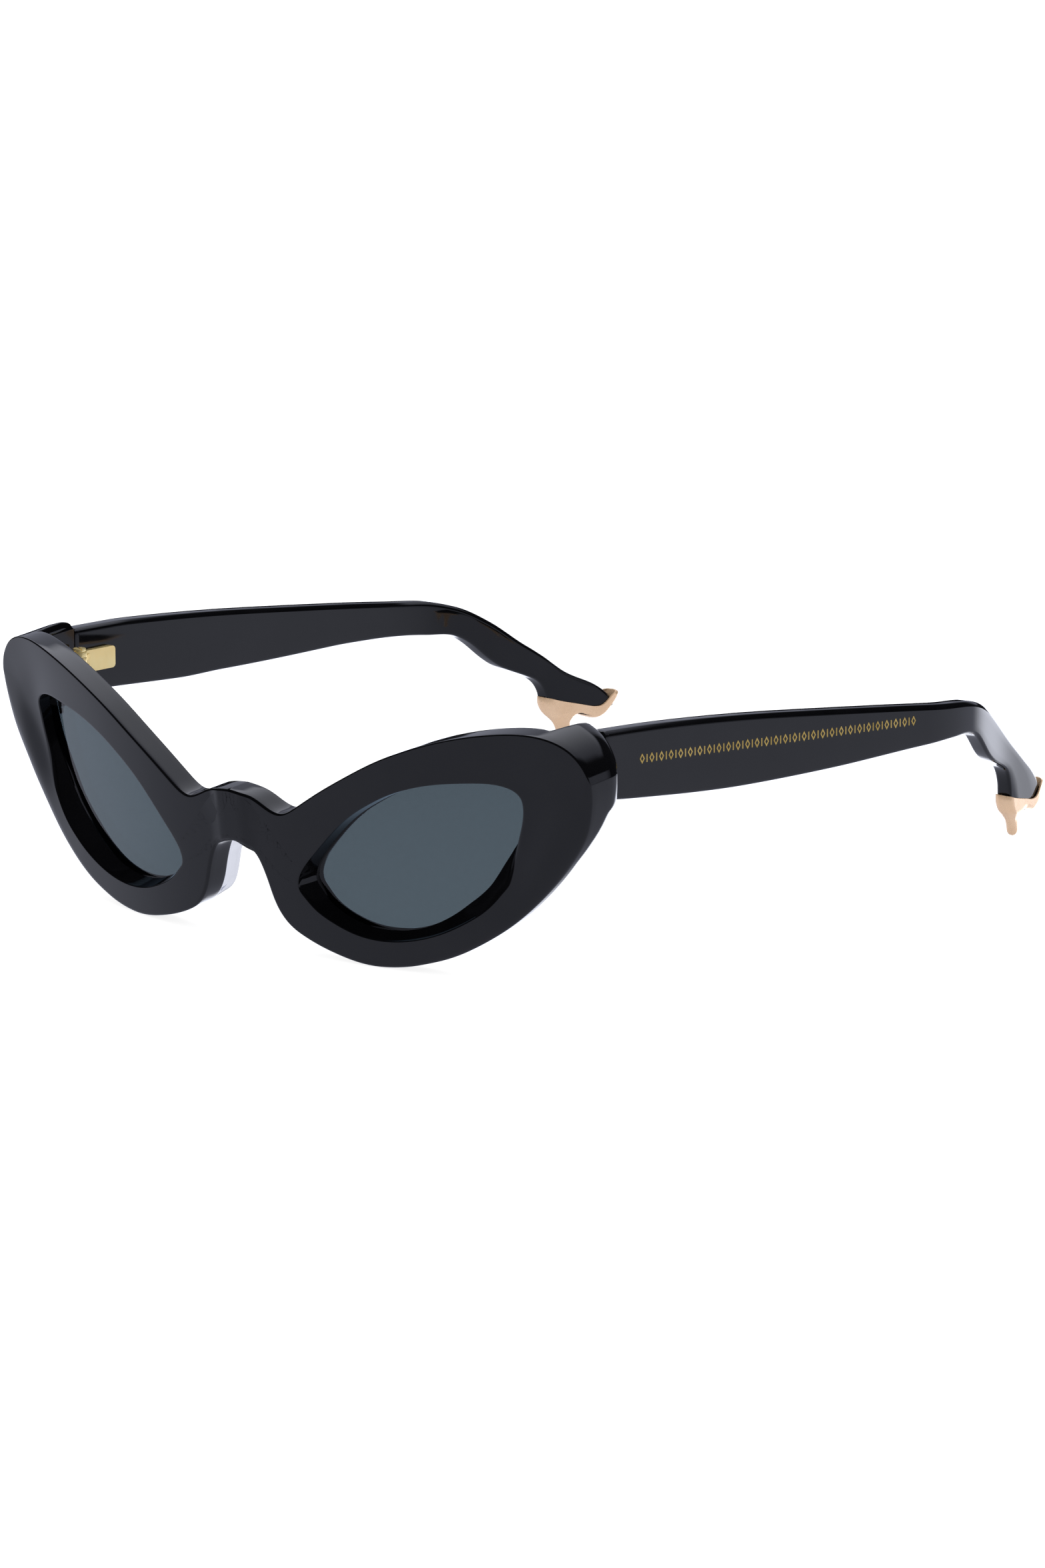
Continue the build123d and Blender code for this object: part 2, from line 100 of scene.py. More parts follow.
def spline(points, count, closed=False):
    """Cubic spline through points, by chord length, as evenly spaced samples."""
    knots = np.asarray(points, float)
    if closed:
        knots = np.vstack([knots, knots[:1]])
    at = lengths_along(knots)
    size = len(knots)
    chord = at[1:] - at[:-1]
    matrix = np.zeros((size, size))
    right = np.zeros((size, knots.shape[1]))
    for i in range(1, size - 1):
        matrix[i, i - 1:i + 2] = chord[i - 1], 2 * (chord[i - 1] + chord[i]), chord[i]
        right[i] = 6 * ((knots[i + 1] - knots[i]) / chord[i]
                        - (knots[i] - knots[i - 1]) / chord[i - 1])
    if closed:
        matrix[0, 0] = 2 * (chord[0] + chord[-1])
        matrix[0, 1] = chord[0]
        matrix[0, size - 2] = chord[-1]
        right[0] = 6 * ((knots[1] - knots[0]) / chord[0]
                        - (knots[0] - knots[size - 2]) / chord[-1])
        matrix[size - 1, size - 1], matrix[size - 1, 0] = 1, -1
    else:
        matrix[0, 0] = matrix[size - 1, size - 1] = 1
    second = np.linalg.solve(matrix, right)
    fine = np.linspace(0, at[-1], max(count * 6, 400))
    k = np.clip(np.searchsorted(at, fine, side="right") - 1, 0, size - 2)
    step = (fine - at[k])[:, None]
    span = chord[k][:, None]
    slope = (knots[k + 1] - knots[k]) / span - span * (2 * second[k] + second[k + 1]) / 6
    line = (knots[k] + step * slope + step ** 2 * second[k] / 2
            + step ** 3 * (second[k + 1] - second[k]) / (6 * span))
    return even(line, count)


def smooth_interp(x, xs, ys):
    """Monotone cubic (Fritsch-Carlson) interpolation."""
    xs, ys = np.asarray(xs, float), np.asarray(ys, float)
    rise = (ys[1:] - ys[:-1]) / (xs[1:] - xs[:-1])
    slope = np.zeros(len(xs))
    slope[0], slope[-1] = rise[0], rise[-1]
    for i in range(1, len(xs) - 1):
        if rise[i - 1] * rise[i] > 0:
            slope[i] = 2 * rise[i - 1] * rise[i] / (rise[i - 1] + rise[i])
    x = np.clip(np.asarray(x, float), xs[0], xs[-1])
    k = np.clip(np.searchsorted(xs, x, side="right") - 1, 0, len(xs) - 2)
    span = xs[k + 1] - xs[k]
    t = (x - xs[k]) / span
    return ((2 * t ** 3 - 3 * t ** 2 + 1) * ys[k] + (t ** 3 - 2 * t ** 2 + t) * span * slope[k]
            + (-2 * t ** 3 + 3 * t ** 2) * ys[k + 1] + (t ** 3 - t ** 2) * span * slope[k + 1])


def normals(curve, towards, closed=False):
    """Unit normals of a 2D polyline, on the side that the vectors towards point to."""
    if closed:
        along_it = np.roll(curve, -1, 0) - np.roll(curve, 1, 0)
    else:
        along_it = np.gradient(curve, axis=0)
    along_it = unit(along_it)
    out = np.stack([-along_it[:, 1], along_it[:, 0]], 1)
    return -out if (out * towards).sum(1).mean() < 0 else out


def unit(vectors):
    return vectors / np.maximum(np.sqrt((vectors ** 2).sum(-1, keepdims=True)), 1e-12)


def nearest_index(curve, point):
    return int(((curve - np.array(point)) ** 2).sum(1).argmin())


def keyed(curve, keys, column):
    """Values along a curve, from keys (point, values...) in order along it."""
    length = lengths_along(curve)
    at = [length[nearest_index(curve, key[0])] for key in keys]
    for i in range(1, len(at)):
        at[i] = max(at[i], at[i - 1] + 1e-3)
    return smooth_interp(length, at, [key[column] for key in keys])


def stretch_between(curve, first, last, count):
    """Even samples from index first up to, not including, last; wraps if last < first."""
    if last >= first:
        part = curve[first:last + 1]
    else:
        part = np.vstack([curve[first:], curve[:last + 1]])
    return even(part, count + 1)[:-1]


def smooth_ring(values, rounds):
    """Averages each entry of a closed ring with its neighbours."""
    for _ in range(rounds):
        values = 0.25 * np.roll(values, 1, 0) + 0.5 * values + 0.25 * np.roll(values, -1, 0)
    return values


def smooth_run(values, rounds):
    """The same for an open run, with both ends held."""
    for _ in range(rounds):
        values[1:-1] = 0.25 * values[:-2] + 0.5 * values[1:-1] + 0.25 * values[2:]
    return values


def closest(points, curve, chunk=2500):
    """Distance to, and index of, the nearest sample of a curve."""
    distance, index = np.empty(len(points)), np.empty(len(points), int)
    for i in range(0, len(points), chunk):
        squares = ((points[i:i + chunk, None, :] - curve[None]) ** 2).sum(2)
        index[i:i + chunk] = squares.argmin(1)
        distance[i:i + chunk] = np.sqrt(squares.min(1))
    return distance, index


def along(points, curve, closed):
    """Distance to a polyline, and the position on it counted in samples."""
    _, nearest = closest(points, curve)
    count = len(curve)
    best = np.full(len(points), 1e9)
    position = np.zeros(len(points))
    for step in (-1, 0):
        i = (nearest + step) % count if closed else np.clip(nearest + step, 0, count - 2)
        start, end = curve[i], curve[(i + 1) % count]
        run = end - start
        share = ((points - start) * run).sum(1) / np.maximum((run ** 2).sum(1), 1e-12)
        share = np.clip(share, 0, 1)
        distance = np.sqrt(((points - start - run * share[:, None]) ** 2).sum(1))
        closer = distance < best
        best = np.where(closer, distance, best)
        position = np.where(closer, i + share, position)
    return best, position


def values_at(values, position, closed):
    """Values of a curve's samples, read at positions counted in samples."""
    if values.ndim == 2:
        columns = [values_at(values[:, i], position, closed) for i in range(values.shape[1])]
        return np.stack(columns, 1)
    if closed:
        values = np.append(values, values[0])
    return np.interp(position, np.arange(len(values)), values)


def inside(loop, points):
    """Which points lie inside a closed 2D loop."""
    x, y = points[:, 0][:, None], points[:, 1][:, None]
    x1, y1 = loop[:, 0][None], loop[:, 1][None]
    x2, y2 = np.roll(loop[:, 0], -1)[None], np.roll(loop[:, 1], -1)[None]
    crossed = ((y1 > y) != (y2 > y)) & (x < (x2 - x1) * (y - y1) / (y2 - y1 + 1e-15) + x1)
    return crossed.sum(1) % 2 == 1


# ------------------------------------------------------------------- meshes
def loop_edges(count):
    return [(i, (i + 1) % count) for i in range(count)]


def band_faces(rings, count, start=0):
    """Quads between consecutive closed rings of count vertices each."""
    quads = []
    for k in range(rings - 1):
        for i, j in loop_edges(count):
            first, second = start + k * count + i, start + k * count + j
            quads.append((first, second, second + count, first + count))
    return quads


def shifted(faces, offset):
    return [tuple(i + offset for i in face) for face in faces]


def triangulate(points, edges, tolerance):
    """Delaunay mesh: its points, triangles, triangle centres and source indices."""
    result = delaunay_2d_cdt([Vector(p) for p in points], edges, [], 0, tolerance)
    flat = np.array([tuple(v) for v in result[0]])
    triangles = result[2]
    centres = np.array([flat[list(t)].mean(0) for t in triangles])
    return flat, triangles, centres, result[3]


def staggered_grid(loop, step):
    """Grid points inside a loop, every other row shifted by half a step."""
    low, high = loop.min(0), loop.max(0)
    x, y = np.meshgrid(np.arange(low[0], high[0], step), np.arange(low[1], high[1], step))
    x[::2] += step / 2
    points = np.stack([x.ravel(), y.ravel()], 1)
    return points[inside(loop, points)]


def fill(loop, step):
    """Points and triangles covering a 2D loop; the loop's own points come first."""
    grid = staggered_grid(loop, step)
    distance, _ = closest(grid, loop)
    points = np.vstack([loop, grid[distance > step * 0.45]])
    flat, triangles, centres, _ = triangulate(points, loop_edges(len(loop)), 1e-7)
    return flat, [t for t, keep in zip(triangles, inside(loop, centres)) if keep]


def mirror_x(verts, faces):
    mirrored = np.asarray(verts, float).copy()
    mirrored[:, 0] *= -1
    return mirrored, [tuple(reversed(face)) for face in faces]


def make_object(name, verts, faces, weld, sharp):
    """A smooth object: welded (m), faces outward, edges over sharp degrees marked."""
    mesh = bpy.data.meshes.new(name)
    mesh.from_pydata([tuple(v) for v in verts], [], [tuple(int(i) for i in f) for f in faces])
    mesh.update()
    ob = bpy.data.objects.new(name, mesh)
    bpy.context.scene.collection.objects.link(ob)
    mesh.polygons.foreach_set("use_smooth", [True] * len(mesh.polygons))
    bm = bmesh.new()
    bm.from_mesh(mesh)
    bmesh.ops.remove_doubles(bm, verts=bm.verts, dist=weld)
    bmesh.ops.dissolve_degenerate(bm, edges=bm.edges, dist=weld / 2)
    bmesh.ops.recalc_face_normals(bm, faces=bm.faces)
    for edge in bm.edges:
        if len(edge.link_faces) == 2:
            edge.smooth = edge.calc_face_angle(0) < math.radians(sharp)
    bm.to_mesh(mesh)
    bm.free()
    mesh.update()
    return ob


def make_pair(name, left, right=None, weld=2e-6, sharp=38):
    """Left and right pieces; right is drawn on the left too, and is left if not given."""
    return (make_object(name + "_left", *left, weld, sharp),
            make_object(name + "_right", *mirror_x(*(right or left)), weld, sharp))


def register_pair(pair, body, slot, *replaced):
    for ob, side in zip(pair, ("left", "right")):
        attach(ob, body.format(side))
        if replaced:
            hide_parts(*(name.format(side) for name in replaced))


# ============================================================ front: design
# Outline of the left half (u, v): the top from the middle outward, then down the
# outer side and back along the bottom to the middle.
BROW = [
    (0, 11.39), (3, 11.08), (5.7, 10.4), (7.9, 9.4), (9.8, 8.62), (11.5, 8.37),
    (13.5, 8.95), (15.9, 10.35), (20.5, 13.26), (27.3, 17.17), (34, 20.65),
    (39, 22.73), (43, 24.13), (49.5, 25.92), (56.9, 27.14), (62, 27.32),
    (65.9, 26.76), (68.8, 25.65), (70.5, 24.5), (71.9, 23.0), (73.1, 20.9), (73.6, 18.8)]
CHEEK = [
    (73.6, 18.8), (73.45, 16.3), (72.9, 13.3), (71.6, 9.3), (68.1, 3.72),
    (64.1, -1.1), (60.3, -4.95), (56.6, -8.1), (52.8, -10.7), (48.9, -12.93),
    (44.7, -14.8), (40.5, -16.1), (37, -16.95), (33.5, -17.45), (29.5, -17.62),
    (25.5, -17.2), (21.5, -16.3), (17.8, -15.2), (14.7, -14.0), (12.5, -12.9),
    (10.7, -11.5), (9.2, -9.6), (8.1, -7.3), (7.3, -4.94), (6.4, -2.6),
    (5.4, -0.7), (4.0, 0.75), (2.2, 1.5), (0, 1.72)]
# Front edge of the lens opening (u, v), a closed loop.
OPENING = [
    (14.75, -3.55), (16.15, -1.0), (18.85, 1.95), (22.2, 5.35), (25.35, 8.25),
    (28.35, 10.5), (31.3, 12.3), (35.1, 14.28), (38.1, 15.48), (43, 16.86),
    (48, 17.62), (52, 17.95), (55.3, 17.97), (57.5, 17.6), (59.3, 16.8),
    (60.3, 15.6), (60.45, 13.9), (59.8, 10.65), (58.6, 7.06), (57.6, 4.0),
    (56.8, 1.2), (55.3, -1.95), (52.2, -5.4), (48.9, -7.6), (44.1, -10.0),
    (40, -11.4), (35.5, -12.3), (30.8, -12.5), (26, -11.8), (21.5, -10.2),
    (18, -8.3), (15.8, -6.3), (14.75, -4.9)]
# Rounding along the outline: point, front round's inset and depth, rear round's
# inset and depth, forward swell of the face beside it.
EDGE_KEYS = [
    ((0, 11.39), 0.50, 0.42, 0.7, 0.6, 0.0), ((11.5, 8.37), 0.42, 0.38, 0.7, 0.6, 0.0),
    ((27.3, 17.2), 0.30, 0.28, 0.6, 0.5, 0.0), ((49.5, 25.9), 0.28, 0.26, 0.6, 0.5, 0.0),
    ((59.0, 27.3), 0.28, 0.26, 0.7, 0.8, 0.0), ((62.5, 27.3), 0.28, 0.26, 0.9, 1.3, 0.0),
    ((65.9, 26.76), 0.28, 0.26, 1.7, 4.2, 0.0), ((68.8, 25.65), 0.28, 0.26, 2.1, 5.0, 0.0),
    ((71.9, 23.0), 0.30, 0.28, 2.9, 4.6, 0.0), ((73.4, 20.0), 0.5, 0.45, 3.4, 4.2, 0.05),
    ((73.6, 17.5), 1.2, 0.8, 3.5, 4.0, 0.15), ((73.0, 13.8), 2.2, 1.1, 3.5, 3.8, 0.3),
    ((71.9, 10.0), 3.0, 1.3, 3.3, 3.2, 0.45), ((68.1, 3.7), 3.4, 1.4, 3.0, 2.6, 0.5),
    ((60.3, -5.0), 2.6, 1.1, 2.4, 2.4, 0.35), ((50.0, -12.3), 1.4, 0.8, 1.5, 1.5, 0.1),
    ((40.0, -16.2), 0.7, 0.5, 1.0, 1.0, 0.0), ((29.5, -17.6), 0.5, 0.42, 0.9, 0.9, 0.0),
    ((14.7, -14.0), 0.5, 0.42, 0.9, 0.9, 0.0), ((8.1, -7.3), 0.6, 0.5, 0.9, 0.9, 0.0),
    ((4.0, 0.75), 0.6, 0.5, 0.9, 0.9, 0.0), ((0, 1.72), 0.6, 0.5, 0.9, 0.9, 0.0)]
# Along the opening: point, width of the bevel, radius of its soft edge, depth of
# the dish in the face beside it.
OPENING_KEYS = [
    ((14.75, -3.55), 1.45, 0.25, 0.0), ((15.9, -1.4), 0.85, 0.25, 0.0),
    ((18.0, 1.1), 0.3, 0.25, 0.0), ((22.2, 5.35), 0.16, 0.25, 0.0),
    ((35.1, 14.28), 0.16, 0.25, 0.0), ((43, 16.86), 0.3, 0.25, 0.1),
    ((52, 17.95), 0.5, 0.3, 0.2), ((60.3, 15.6), 0.2, 0.4, 0.5),
    ((60.35, 12.5), 0.4, 0.55, 0.8), ((59.2, 8.7), 0.45, 0.8, 0.95),
    ((57.9, 4.9), 1.35, 1.1, 1.0), ((56.7, 1.0), 2.65, 1.0, 0.8),
    ((55.3, -1.95), 3.05, 0.5, 0.5), ((52.8, -4.9), 3.1, 0.3, 0.25),
    ((49.8, -7.05), 2.9, 0.25, 0.1), ((46.2, -9.05), 2.35, 0.25, 0.0),
    ((41.8, -10.87), 1.75, 0.25, 0.0), ((38.5, -11.8), 1.35, 0.25, 0.0),
    ((33.2, -12.5), 1.05, 0.25, 0.0), ((27.5, -12.1), 0.8, 0.25, 0.0),
    ((21.9, -10.4), 0.7, 0.25, 0.0), ((18.6, -8.7), 0.95, 0.25, 0.0),
    ((16.3, -6.9), 1.35, 0.25, 0.0), ((14.7, -4.2), 1.62, 0.25, 0.0)]
# Matched places round the rim: outline point, opening point, segments to the next.
# The last stretch runs up the middle line instead of the outline.
STATIONS = [
    ((0, 11.39), (15.3, -1.3), 46), ((11.5, 8.37), (17.6, 2.0), 60),
    ((34, 20.65), (33, 13.7), 62), ((62, 27.32), (55.6, 17.95), 52),
    ((73.6, 18.8), (60.65, 13.9), 44), ((68.1, 3.72), (59.8, 5.5), 62),
    ((48.9, -12.93), (48.9, -7.6), 52), ((29.5, -17.62), (30.8, -12.5), 44),
    ((12.5, -12.9), (18.0, -8.3), 34), ((7.3, -4.94), (14.95, -5.3), 34),
    ((0, 1.72), (14.62, -4.2), 30)]

FACE_MIDDLE = -22.9               # w of the face at the middle
FACE_RADIUS = 170.0               # arc of the face seen from above
FLARE = 0.31                      # slope of the outer ends
FLARE_FROM, FLARE_RUN = 55, 14    # u where the arc starts to turn into it, and over what
BRIDGE_PROUD = 0.42               # how far the bridge stands forward
FRONT_T = 5.2                     # thickness of the front
LENS_IN, LENS_T = 3.1, 1.4        # depth of the lens behind the face, its thickness
LENS_PLAY = 0.03                  # clearance of the lens groove
JOINT_Y = -0.15                   # design y of the plane where the front meets the temples
RIM_PULL = 0.9                    # how squarely face lines leave the outline and opening

FACE_STEP = 0.05
u_table = np.linspace(0, 80, 1601)
arc_slope = u_table / np.sqrt(FACE_RADIUS ** 2 - np.minimum(u_table, 70) ** 2)
flare_share = ease(np.clip((u_table - FLARE_FROM) / FLARE_RUN, 0, 1))
slope_table = arc_slope * (1 - flare_share) + FLARE * flare_share
w_table = FACE_MIDDLE + np.concatenate(
    [[0], np.cumsum(0.5 * (slope_table[1:] + slope_table[:-1]) * FACE_STEP)])


def face_depth(u):
    """w of the front surface, the arc running softly into the flare."""
    return np.interp(np.abs(np.asarray(u, float)), u_table, w_table)


def bridge_depth(u):
    """The same, with the bridge standing a little proud of the rims."""
    t = np.clip((np.abs(np.asarray(u, float)) - 2.4) / 3.0, 0, 1)
    return face_depth(u) - BRIDGE_PROUD * (1 - ease(t))


def joint_depth(v):
    """w of the plane where the temples meet the front."""
    return (JOINT_Y + SIN_LEAN * np.asarray(v, float)) / COS_LEAN


def behind_face(points, depth, over=None):
    """u, v, w of points at a depth behind the face, taken at the points over."""
    over = points if over is None else over
    return np.column_stack([points, face_depth(over[:, 0]) + depth])


def rear_depth(points):
    """w of the rear surface: the plate, the deep end piece and the slope
    that runs from the end piece down the back of the cheek."""
    u, v = points[:, 0], points[:, 1]
    plate = face_depth(u) + FRONT_T
    lug = np.interp(u, [60.6, 64.4, 64.56], [0.0, 1.0, 2.0])
    lug_start = float(face_depth(60.6)) + FRONT_T
    top = np.where(lug <= 1, lug_start + (-5.0 - lug_start) * lug, -5.0 + (lug - 1) * 20.0)
    z = FRONT_Z + v * COS_LEAN
    slope = np.interp(z, [3, 22, 33.6, 33.7], [-14, -7.5, -1.2, 9.0]) * COS_LEAN + SIN_LEAN * v
    depth = np.minimum(np.minimum(top, slope), joint_depth(v))
    return np.where(lug > 0, np.maximum(plate, depth), plate)


# ==================================================== front: matched outlines
outline = even(np.vstack([spline(BROW, 420), spline(CHEEK, 520)[1:]]), 1800)
opening = spline(OPENING, 1200, closed=True)[:-1]


def matched_rings():
    """Facing points on the outline and the opening, and which of them are on the
    real outline rather than the middle line."""
    outer_parts, inner_parts, on_outline = [], [], []
    bottom, top = CHEEK[-1][1], BROW[0][1]
    for k, (outer_point, inner_point, count) in enumerate(STATIONS):
        next_outer, next_inner, _ = STATIONS[(k + 1) % len(STATIONS)]
        inner_parts.append(stretch_between(opening, nearest_index(opening, inner_point),
                                           nearest_index(opening, next_inner), count))
        real = k < len(STATIONS) - 1
        if real:
            part = stretch_between(outline, nearest_index(outline, outer_point),
                                   nearest_index(outline, next_outer), count)
        else:
            # closely spaced near both ends
            share = 0.5 - 0.5 * np.cos(np.linspace(0, math.pi, count + 1)[:-1])
            part = np.stack([np.zeros(count), bottom + share * (top - bottom)], 1)
        outer_parts.append(part)
        on_outline.append(np.full(count, real))
    return np.vstack(outer_parts), np.vstack(inner_parts), np.concatenate(on_outline)


outer_ring, inner_ring, on_outline = matched_rings()
RING = len(outer_ring)

# the outline, its rounding and its normals into the acetate
edge_values = [keyed(outline, EDGE_KEYS, column) for column in (1, 2, 3, 4, 5)]
outline_normal = normals(outline, np.array([37.0, 3.0]) - outline)
outline_index = np.array([nearest_index(outline, p) for p in outer_ring])
outer_ring[on_outline] = outline[outline_index[on_outline]]
outer_normal = outline_normal[outline_index]
outer_normal[~on_outline] = (1.0, 0.0)

# the opening, turned to start at its first key, and the sight edge the bevel runs to
opening = np.roll(opening, -nearest_index(opening, OPENING_KEYS[0][0]), 0)
closed_keys = OPENING_KEYS + [(tuple(opening[-1]), *OPENING_KEYS[0][1:])]
bevel_width, soft_radius, dish_depth = [
    smooth_ring(keyed(opening, closed_keys, column), 60) for column in (1, 2, 3)]
opening_normal = normals(opening, opening - opening.mean(0), closed=True)
opening_normal = unit(smooth_ring(opening_normal, 30))
sight_edge = smooth_ring(opening - opening_normal * bevel_width[:, None], 60)
sight_edge_normal = unit(smooth_ring(normals(sight_edge, opening_normal, closed=True), 30))

_, ring_position = along(inner_ring, opening, True)
inner_ring, inner_bevel, inner_soft, inner_normal, sight, sight_normal = [
    values_at(values, ring_position, True)
    for values in (opening, bevel_width, soft_radius, opening_normal,
                   sight_edge, sight_edge_normal)]
inner_normal, sight_normal = unit(inner_normal), unit(sight_normal)


# ======================================================= front: face and rim
OUTER_ROWS, MIDDLE_ROWS, INNER_ROWS = 9, 12, 9
ring_gap = np.sqrt(((inner_ring - outer_ring) ** 2).sum(1))


def face_points(share):
    """Points at shares from the outline to the opening, square to both."""
    gap = ring_gap[:, None]
    start_pull, end_pull = outer_normal * gap * RIM_PULL, -inner_normal * gap * RIM_PULL
    t = share[:, None]
    return ((2 * t ** 3 - 3 * t ** 2 + 1) * outer_ring + (t ** 3 - 2 * t ** 2 + t) * start_pull
            + (-2 * t ** 3 + 3 * t ** 2) * inner_ring + (t ** 3 - t ** 2) * end_pull)


def face_shares():
    """Shares of the face rows, closely spaced over the two rounded edges."""
    outer_inset = np.where(on_outline, edge_values[0][outline_index], 0.5)
    outer_share = np.minimum(outer_inset / (RIM_PULL * ring_gap), 0.42)
    inner_share = np.minimum(inner_soft / (RIM_PULL * ring_gap), 0.42)
    shares = []
    for k in range(OUTER_ROWS):
        shares.append(outer_share * (1 - math.cos(math.pi / 2 * k / OUTER_ROWS)))
    for k in range(MIDDLE_ROWS + 1):
        x = k / MIDDLE_ROWS
        x = ease(x) * 0.5 + x * 0.5
        shares.append(outer_share + (1 - outer_share - inner_share) * x)
    for k in range(1, INNER_ROWS + 1):
        shares.append(1 - inner_share * (1 - math.sin(math.pi / 2 * k / INNER_ROWS)))
    return shares


def quarter_round(distance, radius):
    """Drop of a unit quarter round: 1 at the edge, 0 beyond the radius."""
    x = np.clip(1 - distance / np.maximum(radius, 1e-3), 0, 1)
    return 1 - np.sqrt(np.clip(1 - x ** 2, 0, 1))


def face_rows():
    """Rows of the face, from the outline in to the opening."""
    points = np.stack([face_points(share) for share in face_shares()])
    flat = points.reshape(-1, 2)
    to_outline, outline_at = along(flat, outline, False)
    to_opening, opening_at = along(flat, opening, True)
    inset, drop, bulge = [values_at(edge_values[c], outline_at, False) for c in (0, 1, 4)]
    soft = values_at(soft_radius, opening_at, True)
    dish = (values_at(dish_depth, opening_at, True)
            * ease(np.clip(1 - to_opening / 8.0, 0, 1)))
    swell = bulge * ease(np.clip(1 - np.abs(to_outline - inset) / 6.0, 0, 1))
    depth = (bridge_depth(flat[:, 0]) + drop * quarter_round(to_outline, inset)
             + soft * 0.55 * quarter_round(to_opening, soft) + dish - swell)
    return [np.column_stack([p, w]) for p, w in zip(points, depth.reshape(len(points), RING))]


BEVEL_ROWS, BEVEL_BOW = 6, 0.10
GROOVE_DEPTH = 0.85


def opening_rows(edge_w):
    """Rows from the opening's front edge over the bevel and groove to the rear."""
    rows = []
    lens_w = face_depth(sight[:, 0]) + LENS_IN - LENS_PLAY
    for k in range(1, BEVEL_ROWS + 1):
        t = k / BEVEL_ROWS
        bow = BEVEL_BOW * math.sin(math.pi * t) * np.minimum(inner_bevel, 1.5)
        rows.append(np.column_stack([inner_ring * (1 - t) + sight * t,
                                     edge_w * (1 - t) + lens_w * t + bow]))
    groove = sight + sight_normal * GROOVE_DEPTH
    lens_back = LENS_IN + LENS_T + LENS_PLAY
    rows.append(behind_face(groove, LENS_IN - LENS_PLAY))
    rows.append(behind_face(groove, lens_back))
    rows.append(behind_face(sight, lens_back))
    rows.append(behind_face(sight + sight_normal * 0.05, FRONT_T - 0.3, over=sight))
    rows.append(behind_face(sight + sight_normal * 0.35, FRONT_T))
    return rows


WALL_ROWS, REAR_ROUND_ROWS = 4, 10


def wall_rows(run, edge_w):
    """The outer wall and rear round, only along the real outline."""
    points = outer_ring[run]
    _, _, inset, drop, _ = [values[outline_index[run]] for values in edge_values]
    normal = outline_normal[outline_index[run]]
    for end in (0, -1):
        normal[end] = (0, np.sign(normal[end][1]))
    tuck = points + normal * inset[:, None]
    back_w = smooth_run(rear_depth(tuck), 3)
    back_w = np.minimum(back_w, joint_depth(tuck[:, 1]))
    drop = np.minimum(drop, 0.62 * (back_w - edge_w))
    rows = []
    for k in range(1, WALL_ROWS + 1):
        t = k / WALL_ROWS
        rows.append(np.column_stack([points, edge_w * (1 - t) + (back_w - drop) * t]))
    for k in range(1, REAR_ROUND_ROWS + 1):
        turn = math.pi / 2 * k / REAR_ROUND_ROWS
        inward = points + normal * (inset * (1 - math.cos(turn)))[:, None]
        rows.append(np.column_stack([inward, back_w - drop + drop * math.sin(turn)]))
    return rows


# ======================================================= front: rear surface
CUT_V = (33.65 - FRONT_Z) / COS_LEAN      # v of the step across the end piece


def end_piece_lines():
    """Lines (u, v) along the corners of the deep end piece."""
    lines = []
    for u in (60.6, 64.40, 64.48, 64.58):
        low = CUT_V - (7.0 if u < 61 else 0.0)
        lines.append([(u, v) for v in np.arange(low, 26.6, 0.7)])
    for v in (CUT_V, CUT_V - 0.12):
        lines.append([(u, v) for u in np.arange(64.9, 73.2, 0.6)])
    return lines


def rear_grid():
    """Slightly wavy grids (u, v): coarse over the rim, finer over the end piece."""
    u, v = np.meshgrid(np.arange(0.9, 73, 1.1), np.arange(-17, 27, 1.1))
    coarse = np.stack([u.ravel() + 0.11 * np.sin(v.ravel() * 3.1), v.ravel()], 1)
    u, v = np.meshgrid(np.arange(60.2, 73.6, 0.6), np.arange(-9, 27, 0.6))
    finer = np.stack([u.ravel() + 0.05 * np.sin(v.ravel() * 5.1), v.ravel()], 1)
    return np.vstack([coarse[coarse[:, 0] < 60.0], finer])


